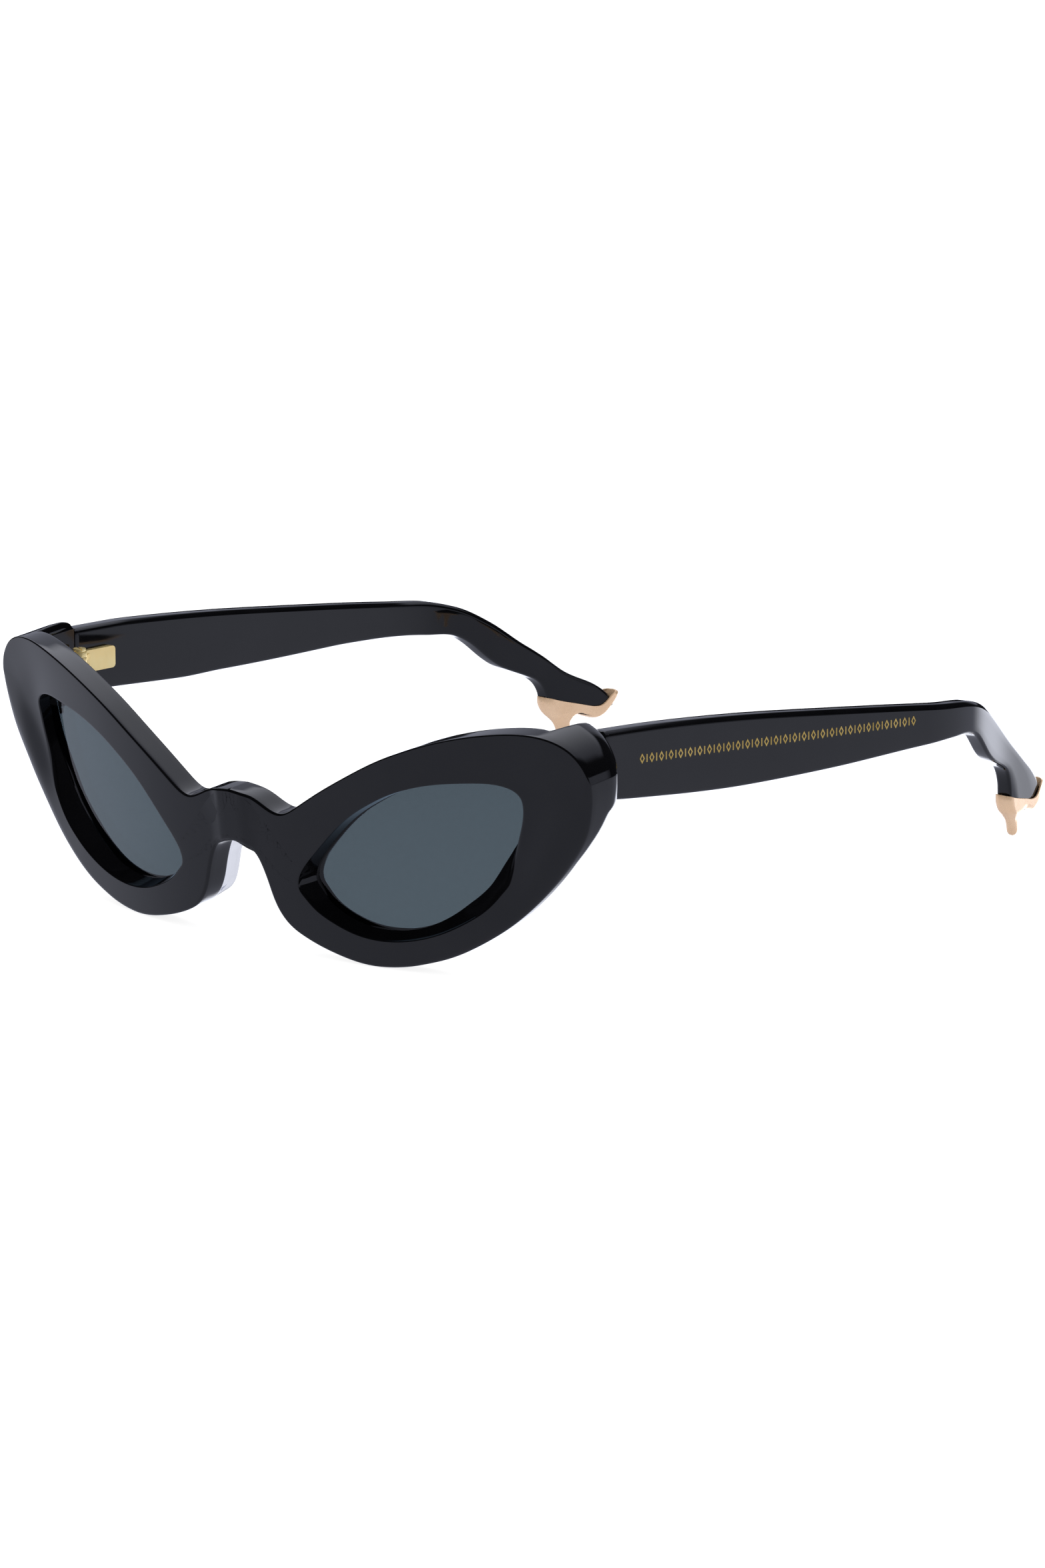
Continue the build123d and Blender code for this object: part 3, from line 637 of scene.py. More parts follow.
def rear_surface(outer_loop, inner_loop):
    """Vertices and triangles of the rear surface between its two loops."""
    points, depths, edges = [], [], []

    def put(point, depth):
        points.append((float(point[0]), float(point[1])))
        depths.append(float(depth))
        return len(points) - 1

    def chain(ids):
        edges.extend(zip(ids[:-1], ids[1:]))

    outer_ids = [put(p[:2], p[2]) for p in outer_loop]
    inner_ids = [put(p[:2], p[2]) for p in inner_loop]
    chain(outer_ids)
    chain(inner_ids + inner_ids[:1])
    # the middle line, from the bottom up
    top, bottom = outer_loop[0][1], outer_loop[-1][1]
    middle = [put((0.0, bottom * (1 - t) + top * t), FACE_MIDDLE + FRONT_T)
              for t in np.linspace(0, 1, 12)[1:-1]]
    chain([outer_ids[-1]] + middle + [outer_ids[0]])

    outer_flat, inner_flat = outer_loop[:, :2], inner_loop[:, :2]
    loops = np.vstack([outer_flat, inner_flat])

    def on_rear(flat):
        return inside(outer_flat, flat) & ~inside(inner_flat, flat)

    lines = end_piece_lines()
    line_points = np.array([point for line in lines for point in line])
    usable = on_rear(line_points) & (closest(line_points, loops)[0] > 0.12)
    checked = iter(zip(usable, rear_depth(line_points)))
    for line in lines:
        previous = None
        for point in line:
            good, depth = next(checked)
            current = put(point, depth) if good else None
            if good and previous is not None:
                edges.append((previous, current))
            previous = current

    grid = rear_grid()
    grid = grid[on_rear(grid)]
    grid = grid[closest(grid, loops)[0] > 0.4]
    grid = grid[closest(grid, line_points[usable])[0] > 0.25]
    # near the outer loop the surface meets the loop's own depth
    grid_w = rear_depth(grid)
    distance, index = closest(grid, outer_flat)
    blend = ease(np.clip(distance / 1.2, 0, 1))
    loop_w = outer_loop[index, 2]
    grid_w = np.where(np.abs(loop_w - grid_w) < 1.0,
                      loop_w * (1 - blend) + grid_w * blend, grid_w)
    for point, depth in zip(grid, grid_w):
        put(point, depth)

    flat, triangles, centres, sources = triangulate(points, edges, 1e-6)
    w = np.array([depths[s[0]] if len(s) else np.nan for s in sources])
    # points added where edges cross take the depth of their nearest neighbour
    added = np.isnan(w)
    _, index = closest(flat[added], flat[~added])
    w[added] = w[~added][index]
    faces = [tuple(t) for t, good in zip(triangles, on_rear(centres)) if good]
    return np.column_stack([flat, w]), faces


def build_front():
    rows = face_rows()
    rows += opening_rows(rows[-1][:, 2])
    faces = band_faces(len(rows), RING)
    run = np.arange(on_outline.sum() + 1)     # the outline and the middle line's first point
    wall = wall_rows(run, rows[0][run, 2])
    previous = run
    for k in range(len(wall)):
        current = len(rows) * RING + k * len(run) + np.arange(len(run))
        for i in range(len(run) - 1):
            faces.append((previous[i + 1], previous[i], current[i], current[i + 1]))
        previous = current
    rear, rear_faces = rear_surface(wall[-1], rows[-1])
    verts = np.vstack(rows + wall)
    faces += shifted(rear_faces, len(verts))
    left = front_to_world(np.vstack([verts, rear]))
    right, right_faces = mirror_x(left, faces)
    return make_object("acetate_front", np.vstack([left, right]),
                       faces + shifted(right_faces, len(left)), weld=1.2e-5, sharp=38)


front_ob = build_front()
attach(front_ob, "front")
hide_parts("front_frame")


# ==================================================================== lenses
LENS_OVERLAP = 0.75               # how far the lens reaches into the groove


def lens_mesh():
    flat, triangles = fill(sight + sight_normal * LENS_OVERLAP, 1.4)
    count = len(flat)
    verts = np.vstack([behind_face(flat, LENS_IN), behind_face(flat, LENS_IN + LENS_T)])
    faces = [tuple(t) for t in triangles]
    faces += [tuple(count + i for i in reversed(t)) for t in triangles]
    # the lens edge stands on the sides that only one triangle uses
    sides = dict.fromkeys((t[i], t[(i + 1) % 3]) for t in triangles for i in range(3))
    for i, j in sides:
        if (j, i) not in sides:
            faces.append((j, i, count + i, count + j))
    return front_to_world(verts), faces


lenses = make_pair("tinted_lens", lens_mesh())
register_pair(lenses, "front", "tinted_lens", "lens_{}")

# ================================================================= nose pads
# Foot of the pad on the rear of the front (u, v), a closed loop.
PAD = [
    (5.9, -0.9), (7.0, -3.2), (7.9, -5.6), (8.8, -8.2), (9.9, -10.4), (11.5, -12.0),
    (13.6, -13.2), (16.0, -14.0), (17.0, -13.0), (15.8, -11.6), (13.9, -9.6),
    (12.7, -6.8), (12.0, -3.6), (10.6, -0.6), (8.4, 1.2), (6.4, 0.8)]
PAD_HEIGHTS = (-0.3, 0.05, 0.25, 0.6, 1.0, 1.5, 2.0, 2.6, 3.2)    # rows of the side wall
PAD_LEAN = np.array([0.06, -0.04])    # shift in u, v per mm of height
PAD_NARROW = 0.14                     # inset per mm of height
PAD_INSET = 0.02                      # inset at the foot
PAD_ROUND_H, PAD_ROUND_W = 1.35, 0.95    # rounded end: height and inset
PAD_ROUND_ROWS = 9


def pad_mesh():
    pad = spline(PAD, 161, closed=True)[:-1]
    inward = normals(pad, pad.mean(0) - pad, closed=True)
    rows = []
    for height in PAD_HEIGHTS:
        rise = max(height, 0.0)
        ring = pad + inward * (PAD_INSET + PAD_NARROW * rise) + PAD_LEAN * rise
        rows.append(behind_face(ring, FRONT_T + height, over=pad))
    wall_top = PAD_HEIGHTS[-1]
    for k in range(1, PAD_ROUND_ROWS + 1):
        turn = math.pi / 2 * k / PAD_ROUND_ROWS
        height = wall_top + PAD_ROUND_H * math.sin(turn)
        inset = PAD_INSET + PAD_NARROW * wall_top + PAD_ROUND_W * (1 - math.cos(turn))
        ring = smooth_ring(pad + inward * inset + PAD_LEAN * height, 1)
        rows.append(behind_face(ring, FRONT_T + height, over=pad))
    faces = band_faces(len(rows), len(pad))
    verts = np.vstack(rows)
    # the end towards the nose, slightly domed
    cap, triangles = fill(rows[-1][:, :2], 0.5)
    distance, index = closest(cap, rows[-1][:, :2])
    cap_w = rows[-1][index, 2] + 0.12 * (1 - np.exp(-distance / 0.5))
    faces += shifted(triangles, len(verts))
    verts = np.vstack([verts, np.column_stack([cap, cap_w])])
    # the end sunk in the front
    cap, triangles = fill(rows[0][:, :2], 0.9)
    faces += shifted(triangles, len(verts))
    verts = np.vstack([verts, behind_face(cap, FRONT_T + PAD_HEIGHTS[0])])
    return front_to_world(verts), faces


pads = make_pair("nose_pad_moulded", pad_mesh(), weld=3e-6)
register_pair(pads, "front", "pad_acetate", "nose_pad_{}")

# =================================================================== temples
# Side view (y, z): the top edge from the hinge back to the tip, the sole of the tip
# from its rear end forward, and the lower edge from there back to the hinge.
TOP_EDGE = [
    (0, 45.0), (10, 44.6), (24, 43.7), (39, 42.4), (53, 40.9), (68, 39.2),
    (83, 37.4), (90, 36.55), (96, 35.9), (100, 35.1), (104, 33.8), (108, 31.8),
    (112, 29.2), (116, 26.3), (120, 23.3), (124, 20.4), (128, 17.6), (131, 15.5),
    (133.2, 13.5), (134.2, 12.2)]
SOLE = [
    (134.2, 12.2), (133.6, 11.2), (132.0, 10.0), (130.3, 9.3), (128.0, 9.8),
    (125.5, 10.45), (123.4, 10.75), (121.2, 11.0), (120.1, 11.5), (119.75, 12.4)]
LOW_EDGE = [
    (119.75, 12.4), (119.3, 14.2), (118.5, 16.6), (117.3, 18.4), (115, 19.8),
    (113, 20.6), (111, 21.4), (109, 22.4), (107, 23.7), (105, 25.4), (103, 27.1),
    (101, 28.5), (98.5, 29.4), (95, 30.0), (87, 30.6), (72, 30.8), (57, 30.8),
    (42, 31.0), (28, 31.5), (13, 32.4), (0, 33.1)]
# Plan view (x, y) of the outer and inner faces.
PLAN_OUTER = [
    (68.3, 0), (68.7, 20), (69.3, 42), (69.9, 65), (70.1, 82), (69.4, 94),
    (67.6, 101), (65.7, 106), (62.1, 115), (58.6, 125), (54.6, 137), (53.3, 141)]
PLAN_INNER = [
    (64.4, 0), (64.9, 20), (65.6, 42), (66.3, 65), (66.6, 82), (65.9, 93.4),
    (64.2, 100), (62.3, 105), (58.9, 114), (55.5, 124), (51.5, 136), (50.2, 140)]
# Matched places: top edge point, lower edge point, segments to the next.
TEMPLE_STATIONS = [
    ((0, 45.0), (0, 33.1), 60), ((68, 39.2), (68, 30.8), 34),
    ((96, 35.9), (94.5, 30.0), 14), ((104, 33.8), (100.8, 28.6), 16),
    ((112, 29.2), (107, 23.7), 16), ((119, 24.1), (112.5, 20.8), 14),
    ((125, 19.7), (117.0, 18.6), 12), ((130, 16.2), (119.0, 15.2), 10),
    ((134.2, 12.2), (119.75, 12.4), 0)]
# The pair is not quite alike: shifts in z of the top and lower edges, as (y, shift).
LEFT_TOP = ([0, 60, 140], [0.0, 0.0, 0.0])
LEFT_LOW = ([0, 6, 14, 22, 36, 60, 70, 78, 85, 92, 98, 140],
            [-0.25, -0.65, -0.95, -1.15, -1.3, -1.3, -1.2, -1.08, -0.95, -0.5, 0.0, 0.0])
RIGHT_TOP = ([0, 8, 14, 92, 101, 108, 115, 122, 130, 140],
             [0.0, 0.2, 0.36, 0.36, 0.05, -1.3, -2.75, -2.9, -1.2, 0.0])
RIGHT_LOW = ([0, 28, 40, 70, 80, 95, 104, 111, 117, 121, 126, 140],
             [0.0, 0.0, 0.32, 0.32, 0.1, -0.2, 0.85, -1.0, -1.75, -0.7, 0.0, 0.0])
SOLE_STEPS = 399
SOLE_STATIONS = 12                # last sections, which take on the shape of the sole
LOW_ROUND = 0.75                  # radius of the two lower corners
OUTER_CHAMFER, INNER_CHAMFER, CHAMFER_TURN = 0.72, 0.62, 0.34    # the two upper corners

sole = spline(SOLE[::-1], SOLE_STEPS + 1)
plan_outer, plan_inner = spline(PLAN_OUTER, 600), spline(PLAN_INNER, 600)


def x_outer(y):
    return np.interp(y, plan_outer[:, 1], plan_outer[:, 0])


def x_inner(y):
    return np.interp(y, plan_inner[:, 1], plan_inner[:, 0])


def matched_edge(curve, column):
    """Section ends along one edge, smoothed so that the sections turn evenly."""
    parts = []
    for here, after in zip(TEMPLE_STATIONS[:-1], TEMPLE_STATIONS[1:]):
        parts.append(stretch_between(curve, nearest_index(curve, here[column]),
                                     nearest_index(curve, after[column]), here[2]))
    return smooth_run(np.vstack(parts + [curve[-1:]]), 4)


top_points = matched_edge(spline(TOP_EDGE, 1600), 0)
low_points = matched_edge(spline(LOW_EDGE[::-1], 1600), 1)


def round_corner(radius, count):
    return [(radius - radius * math.cos(turn), radius - radius * math.sin(turn))
            for turn in np.linspace(0, math.pi / 2, count)]


def chamfer_corner(cut, turn, count=5):
    """From the side (0, cut + turn) to the top (cut + turn, 0), both turns rounded."""
    out = []
    k = turn / math.sqrt(2)
    for start, pull, end in (((0, cut + turn), (0, cut), (k, cut - k)),
                             ((cut - k, k), (cut, 0), (cut + turn, 0))):
        for t in np.linspace(0, 1, count):
            out.append(tuple((1 - t) ** 2 * start[i] + 2 * t * (1 - t) * pull[i] + t * t * end[i]
                             for i in (0, 1)))
    return out


def section_profile():
    """Entries (side 0 inner or 1 outer, inset, end 0 bottom or 1 top, offset from it);
    where the offset is None, the third entry is a share of the height."""
    low = round_corner(LOW_ROUND, 7)
    profile = [(0, inset, 0, offset) for inset, offset in low]
    profile += [(1, inset, 0, offset) for inset, offset in reversed(low)]
    profile += [(1, 0.0, share, None) for share in (0.3, 0.5, 0.7)]
    profile += [(1, inset, 1, offset)
                for inset, offset in chamfer_corner(OUTER_CHAMFER, CHAMFER_TURN)]
    profile += [(0, inset, 1, offset)
                for inset, offset in reversed(chamfer_corner(INNER_CHAMFER, CHAMFER_TURN))]
    profile += [(0, 0.0, share, None) for share in (0.7, 0.5, 0.3)]
    return profile


PROFILE = section_profile()


def section(top, low, sole_share, trim, y_shift):
    """One ring of the temple between its lower and upper points."""
    height = math.dist(top, low)
    out = []
    for side, inset, end, offset in PROFILE:
        if offset is None:
            share = end
        elif end == 0:
            share = (offset + trim) / height
        else:
            share = 1 - (offset + trim) / height
        point = np.array(low) * (1 - share) + np.array(top) * share
        if sole_share > 0:
            at = share * SOLE_STEPS
            k = min(int(at), SOLE_STEPS - 1)
            on_sole = sole[k] * (1 - (at - k)) + sole[k + 1] * (at - k)
            chord = sole[0] * (1 - share) + sole[-1] * share
            point = point + sole_share * (on_sole - chord)
        y = point[0] + y_shift
        if side == 1:
            x = float(x_outer(y)) - inset - trim
        else:
            x = float(x_inner(y)) + inset + trim
        out.append((x, y, point[1]))
    return out


def tip_right(points):
    """The right-hand tip sits a little higher, and is shorter beyond the ankle."""
    points = np.array(points, float)
    t = np.clip((points[:, 1] - 100.0) / 19.0, 0, 1)
    points[:, 2] += 1.7 * ease(t)
    points[:, 1] += 0.9 * t - np.maximum(points[:, 1] - 119.0, 0) * 0.10
    return points


def temple_mesh(top_shift, low_shift, move_tip=None):
    top, low = top_points.copy(), low_points.copy()
    top[:, 1] += smooth_interp(top[:, 0], *top_shift)
    low[:, 1] += smooth_interp(low[:, 0], *low_shift)
    # columns: top point, lower point, share of the sole's shape, trim, shift in y
    stations = [(top[0], low[0], 0.0, 0.22, 0.0), (top[0], low[0], 0.0, 0.08, 0.05)]
    sole_from = len(top) - SOLE_STATIONS
    for k in range(len(top)):
        sole_share = ease((k - sole_from) / (SOLE_STATIONS - 1)) if k > sole_from else 0.0
        stations.append((top[k], low[k], sole_share, 0.0, 0.22 if k == 0 else 0.0))
    stations.append((top[-1], low[-1], 1.0, 0.35, 0.0))
    verts = np.array([point for station in stations for point in section(*station)])
    count = len(PROFILE)
    faces = band_faces(len(stations), count)
    faces.append(tuple(range(count)))
    faces.append(tuple(range(len(verts) - count, len(verts))))
    if move_tip is not None:
        verts = move_tip(verts)
    return to_world(verts), faces


temples = make_pair("acetate_temple", temple_mesh(LEFT_TOP, LEFT_LOW),
                    temple_mesh(RIGHT_TOP, RIGHT_LOW, tip_right), sharp=34)
register_pair(temples, "{}_temple", "acetate", "temple_{}")

# ===================================================================== shoes
# One cast shell: a side view (y, z) blown up to its width, with an open top.
# The rim of the opening, and the rest of the outline round the heel and sole.
SHOE_RIM = [
    (119.0, 13.2), (121.5, 12.45), (124.5, 11.75), (127.5, 11.05), (129.8, 10.65),
    (131.2, 10.85), (132.5, 11.7), (133.6, 12.6), (135.2, 13.4)]
SHOE_LOW = [
    (119.0, 13.2), (118.97, 11.9), (119.4, 10.6), (120.3, 9.35), (121.4, 8.3),
    (122.15, 7.2), (122.6, 6.1), (122.85, 5.3), (123.35, 4.75), (124.0, 4.68),
    (124.6, 4.8), (124.97, 5.4), (124.98, 6.5), (124.95, 7.7), (125.25, 8.65),
    (126.1, 9.15), (127.4, 8.9), (129.0, 8.4), (130.4, 8.1), (131.8, 8.5),
    (133.4, 9.7), (134.7, 11.0), (135.75, 12.55), (135.8, 13.15), (135.2, 13.4)]
SHOE_HALF, HEEL_HALF = 2.2, 1.18              # half widths
SHOE_INSETS = (0.02, 0.07, 0.15, 0.27, 0.43, 0.62)    # rows that carry the edge round
SHOE_GRID = 0.24
# The lip, inner wall and floor: inset from the outer face, drop below the rim.
SHOE_LIP = [(0.06, -0.05), (0.30, -0.05), (0.36, 0.02), (0.38, 0.5), (0.38, 1.3)]

shoe_rim = spline(SHOE_RIM, 121)
shoe_low = spline(SHOE_LOW, 360)


def shoe_middle(y):
    """x of the shoe's middle plane."""
    outer = np.interp(y, [117, 125, 137], [61.65, 59.1, 55.5])
    inner = np.interp(y, [117, 124.6, 137], [57.25, 54.7, 50.5])
    return (outer + inner) / 2


def shoe_half_width(points):
    """Half width of the shoe at points of its side view."""
    y, z = points[:, 0], points[:, 1]
    body = SHOE_HALF - 0.55 * np.clip((y - 131.5) / 4.2, 0, 1) ** 2
    heel = ease(np.clip((9.9 - z) / 2.4, 0, 1) * np.clip((126.2 - y) / 1.0, 0, 1))
    width = body * (1 - heel) + HEEL_HALF * heel
    distance, _ = closest(points, shoe_low)
    radius = np.where(heel > 0.5, 1.0, 1.25)
    x = np.clip(1 - distance / radius, 0, 1)
    return width * np.sqrt(np.clip(1 - x ** 2.2, 0, 1)) ** 0.9


def shoe_side_view():
    """Points and triangles of the side view; the outline's points come first."""
    loop = np.vstack([shoe_low, shoe_rim[::-1][1:-1]])
    inward = normals(shoe_low, np.array([126.0, 10.6]) - shoe_low)
    layers = [loop]
    for inset in SHOE_INSETS:
        row = shoe_low[::2] + inward[::2] * inset
        distance, _ = closest(row, shoe_low)
        layers.append(row[(distance > inset * 0.93) & inside(loop, row)])
    grid = staggered_grid(loop, SHOE_GRID)
    clear = (closest(grid, shoe_low)[0] > 0.72) & (closest(grid, shoe_rim)[0] > 0.12)
    layers.append(grid[clear])
    flat, triangles, centres, _ = triangulate(np.vstack(layers), loop_edges(len(loop)), 1e-6)
    return flat, [t for t, keep in zip(triangles, inside(loop, centres)) if keep], len(loop)


def both_walls(half, points):
    """The points at both half widths, the outer ones first."""
    middle = shoe_middle(points[:, 0])
    return [np.column_stack([middle + half, points]), np.column_stack([middle - half, points])]


def shoe_mesh():
    flat, triangles, loop_count = shoe_side_view()
    low_count, count = len(shoe_low), len(flat)
    half = shoe_half_width(flat)
    half[:low_count] = 0.0
    layers = both_walls(half, flat)
    faces = [tuple(t) for t in triangles]
    faces += [tuple(count + i for i in reversed(t)) for t in triangles]

    rim_ids = [low_count - 1] + list(range(low_count, loop_count)) + [0]
    rim = flat[rim_ids]
    rim_half = half[rim_ids]
    downward = normals(rim, np.array([0.0, -1.0]))
    length = lengths_along(rim)
    to_end = np.minimum(length, length[-1] - length)
    share = np.clip(to_end / 0.5, 0, 1)
    outer_ids = list(rim_ids)
    inner_ids = [count + i for i in rim_ids]
    outer_ids[0] = inner_ids[0]       # both sides meet at the toe
    rim_count = len(rim_ids)
    start = 2 * count
    for inset, drop in SHOE_LIP:
        fade = np.clip((to_end - 0.25) / 1.2, 0, 1) if drop > 0 else share
        points = rim + downward * (drop * fade)[:, None]
        layers += both_walls(np.maximum(rim_half - inset * share, 0.0), points)
        next_outer = list(range(start, start + rim_count))
        next_inner = list(range(start + rim_count, start + 2 * rim_count))
        for i in range(rim_count - 1):
            faces.append((outer_ids[i], outer_ids[i + 1], next_outer[i + 1], next_outer[i]))
            faces.append((inner_ids[i + 1], inner_ids[i], next_inner[i], next_inner[i + 1]))
        outer_ids, inner_ids = next_outer, next_inner
        start += 2 * rim_count
    for i in range(rim_count - 1):
        faces.append((outer_ids[i], outer_ids[i + 1], inner_ids[i + 1], inner_ids[i]))
    return np.vstack(layers), faces


shoe_verts, shoe_faces = shoe_mesh()
shoes = make_pair("cast_shoe", (to_world(shoe_verts), shoe_faces),
                  (to_world(tip_right(shoe_verts)), shoe_faces), weld=8e-6, sharp=42)
register_pair(shoes, "{}_temple", "shoe_gold", "heel_shoe_{}", "shoe_pin_{}")

# ============================================ foil marks on the outer faces
# A row of hollow diamonds with an upright bar between each two.
MARK_COUNT, MARK_PITCH, MARK_START = 30, 2.44, 9.2
MARK_LINE = (8, 39.0)                         # a point (y, z) on the row's line
MARK_SLOPE = -(39.0 - 34.95) / 72.5
DIAMOND_Y, DIAMOND_Z = 0.62, 0.92             # half diagonals
DIAMOND_HOLE = 0.56                           # size of the hole as a share
BAR_Y, BAR_Z = 0.13, 0.72                     # half sizes
FOIL_LIFT, FOIL_SUNK = 0.045, -0.1            # top and bottom against the outer face


def mark_z(y):
    return MARK_LINE[1] + MARK_SLOPE * (y - MARK_LINE[0])


def on_outer_face(outline_yz, lift):
    return [(float(x_outer(y)) + lift, y, z) for y, z in outline_yz]


def foil_bar(y, z, start):
    """A solid bar with a softened top."""
    corners = [(y - BAR_Y, z - BAR_Z), (y + BAR_Y, z - BAR_Z),
               (y + BAR_Y, z + BAR_Z), (y - BAR_Y, z + BAR_Z)]
    centre = np.mean(corners, 0)
    verts = []
    for lift, scale in ((FOIL_SUNK, 1.0), (FOIL_LIFT * 0.7, 1.0), (FOIL_LIFT, 0.86)):
        ring = [(centre[0] + (y1 - centre[0]) * scale, centre[1] + (z1 - centre[1]) * scale)
                for y1, z1 in corners]
        verts += on_outer_face(ring, lift)
    faces = band_faces(3, 4, start)
    faces.append(tuple(start + 8 + i for i in range(4)))
    faces.append(tuple(start + i for i in reversed(range(4))))
    return verts, faces


def foil_diamond(y, z, start):
    """A diamond with its middle cut out."""
    outer = [(y - DIAMOND_Y, z + MARK_SLOPE * -DIAMOND_Y), (y, z - DIAMOND_Z),
             (y + DIAMOND_Y, z + MARK_SLOPE * DIAMOND_Y), (y, z + DIAMOND_Z)]
    inner = [(y + (y1 - y) * DIAMOND_HOLE, z + (z1 - z) * DIAMOND_HOLE) for y1, z1 in outer]
    verts, faces = [], []
    for ring, lift in ((outer, FOIL_SUNK), (outer, FOIL_LIFT),
                       (inner, FOIL_LIFT), (inner, FOIL_SUNK)):
        verts += on_outer_face(ring, lift)
    for k in range(4):
        here, after = start + k * 4, start + (k + 1) % 4 * 4
        for i, j in loop_edges(4):
            faces.append((here + i, here + j, after + j, after + i))
    return verts, faces


def foil_mesh():
    verts, faces = [], []
    for k in range(MARK_COUNT):
        y = MARK_START + k * MARK_PITCH
        marks = [(foil_diamond, y)]
        if k < MARK_COUNT - 1:
            marks.append((foil_bar, y + MARK_PITCH / 2))
        for mark, mark_y in marks:
            more_verts, more_faces = mark(mark_y, mark_z(mark_y), len(verts))
            verts += more_verts
            faces += more_faces
    return to_world(np.array(verts)), faces


foils = make_pair("foil_marks", foil_mesh(), sharp=30)
register_pair(foils, "{}_temple", "hinge_gold")


# ==================================================================== hinges
def soften_hinge(ob):
    """Welds the CAD piece, merges its flats and breaks its edges."""
    weld = ob.modifiers.new("weld", "WELD")
    weld.merge_threshold = 2e-6
    flats = ob.modifiers.new("flats", "DECIMATE")
    flats.decimate_type = "DISSOLVE"
    flats.angle_limit = math.radians(2.0)
    edges = ob.modifiers.new("edges", "BEVEL")
    edges.width = 0.00009
    edges.segments = 2
    edges.limit_method = "ANGLE"
    edges.angle_limit = math.radians(35)
    edges.harden_normals = False


for node_name, ob in frame["nodes"].items():
    if "hinge" in node_name:
        soften_hinge(ob)


# ============================================================= shader helpers
def feed(tree, value, socket):
    """Sets a socket from a constant, or links it to another node's output."""
    if isinstance(value, (int, float)):
        socket.default_value = value
    else:
        tree.links.new(value, socket)


def math_node(tree, operation, first, second):
    made = tree.nodes.new("ShaderNodeMath")
    made.operation = operation
    feed(tree, first, made.inputs[0])
    feed(tree, second, made.inputs[1])
    return made.outputs["Value"]


def noise(tree, scale, detail, roughness, stretch=None):
    source = tree.nodes.new("ShaderNodeTexCoord").outputs["Object"]
    if stretch is not None:
        mapping = tree.nodes.new("ShaderNodeMapping")
        mapping.inputs["Scale"].default_value = stretch
        tree.links.new(source, mapping.inputs["Vector"])
        source = mapping.outputs["Vector"]
    texture = tree.nodes.new("ShaderNodeTexNoise")
    texture.inputs["Scale"].default_value = scale
    texture.inputs["Detail"].default_value = detail
    texture.inputs["Roughness"].default_value = roughness
    tree.links.new(source, texture.inputs["Vector"])
    return texture.outputs["Fac"]


def remap(tree, source, low, high, from_min=0.35, from_max=0.65):
    """Maps a range, by default the middle of a noise, to low and high."""
    made = tree.nodes.new("ShaderNodeMapRange")
    made.inputs["From Min"].default_value = from_min
    made.inputs["From Max"].default_value = from_max
    made.inputs["To Min"].default_value = low
    made.inputs["To Max"].default_value = high
    tree.links.new(source, made.inputs["Value"])
    return made.outputs["Result"]


def mix_colors(tree, factor, first, second):
    made = tree.nodes.new("ShaderNodeMix")
    made.data_type = "RGBA"
    tree.links.new(factor, made.inputs["Factor"])
    made.inputs["A"].default_value = (*first, 1)
    made.inputs["B"].default_value = (*second, 1)
    return made.outputs["Result"]


def bump(tree, shader, height, strength):
    made = tree.nodes.new("ShaderNodeBump")
    made.inputs["Strength"].default_value = strength
    made.inputs["Distance"].default_value = 0.00002
    tree.links.new(height, made.inputs["Height"])
    tree.links.new(made.outputs["Normal"], shader.inputs["Normal"])


def empty_material(name):
    """A material with nothing but its output node."""
    made = bpy.data.materials.new(name)
    made.use_nodes = True
    tree = made.node_tree
    tree.nodes.clear()
    return made, tree, tree.nodes.new("ShaderNodeOutputMaterial")


# ================================================================= materials
def acetate(name, deep, light, rough):
    """Tumbled acetate: near black with faint clouding, polish haze and hairlines."""
    made = bpy.data.materials.new(name)
    made.use_nodes = True
    tree = made.node_tree
    shader = tree.nodes["Principled BSDF"]
    cloud = remap(tree, noise(tree, scale=55, detail=5, roughness=0.6), low=0, high=1)
    tree.links.new(mix_colors(tree, cloud, deep, light), shader.inputs["Base Color"])
    haze = noise(tree, scale=160, detail=3, roughness=0.5)
    tree.links.new(remap(tree, haze, low=rough * 0.75, high=rough * 1.35),
                   shader.inputs["Roughness"])
    hairlines = noise(tree, scale=900, detail=3, roughness=0.7, stretch=(1.0, 0.12, 1.0))
    bump(tree, shader, hairlines, strength=0.05)
    shader.inputs["IOR"].default_value = 1.5
    return made


def metal(name, dark, light, rough, grain, strength=0.1, metallic=1.0):
    """Metal with varied tone and polish; grain is the scale of its fine bumps."""
    made = bpy.data.materials.new(name)
    made.use_nodes = True
    tree = made.node_tree
    shader = tree.nodes["Principled BSDF"]
    tone = remap(tree, noise(tree, scale=260, detail=3, roughness=0.5), low=0, high=1)
    tree.links.new(mix_colors(tree, tone, dark, light), shader.inputs["Base Color"])
    shader.inputs["Metallic"].default_value = metallic
    rub = noise(tree, scale=700, detail=3, roughness=0.5)
    tree.links.new(remap(tree, rub, low=rough * 0.75, high=rough * 1.3),
                   shader.inputs["Roughness"])
    bump(tree, shader, noise(tree, scale=grain, detail=2, roughness=0.5), strength=strength)
    return made


def clear_and_gloss(name):
    """A material that mixes clear sight with a glossy surface."""
    made, tree, output = empty_material(name)
    mix = tree.nodes.new("ShaderNodeMixShader")
    clear = tree.nodes.new("ShaderNodeBsdfTransparent")
    gloss = tree.nodes.new("ShaderNodeBsdfGlossy")
    tree.links.new(clear.outputs["BSDF"], mix.inputs[1])
    tree.links.new(gloss.outputs["BSDF"], mix.inputs[2])
    tree.links.new(mix.outputs["Shader"], output.inputs["Surface"])
    return made, tree, mix, clear, gloss


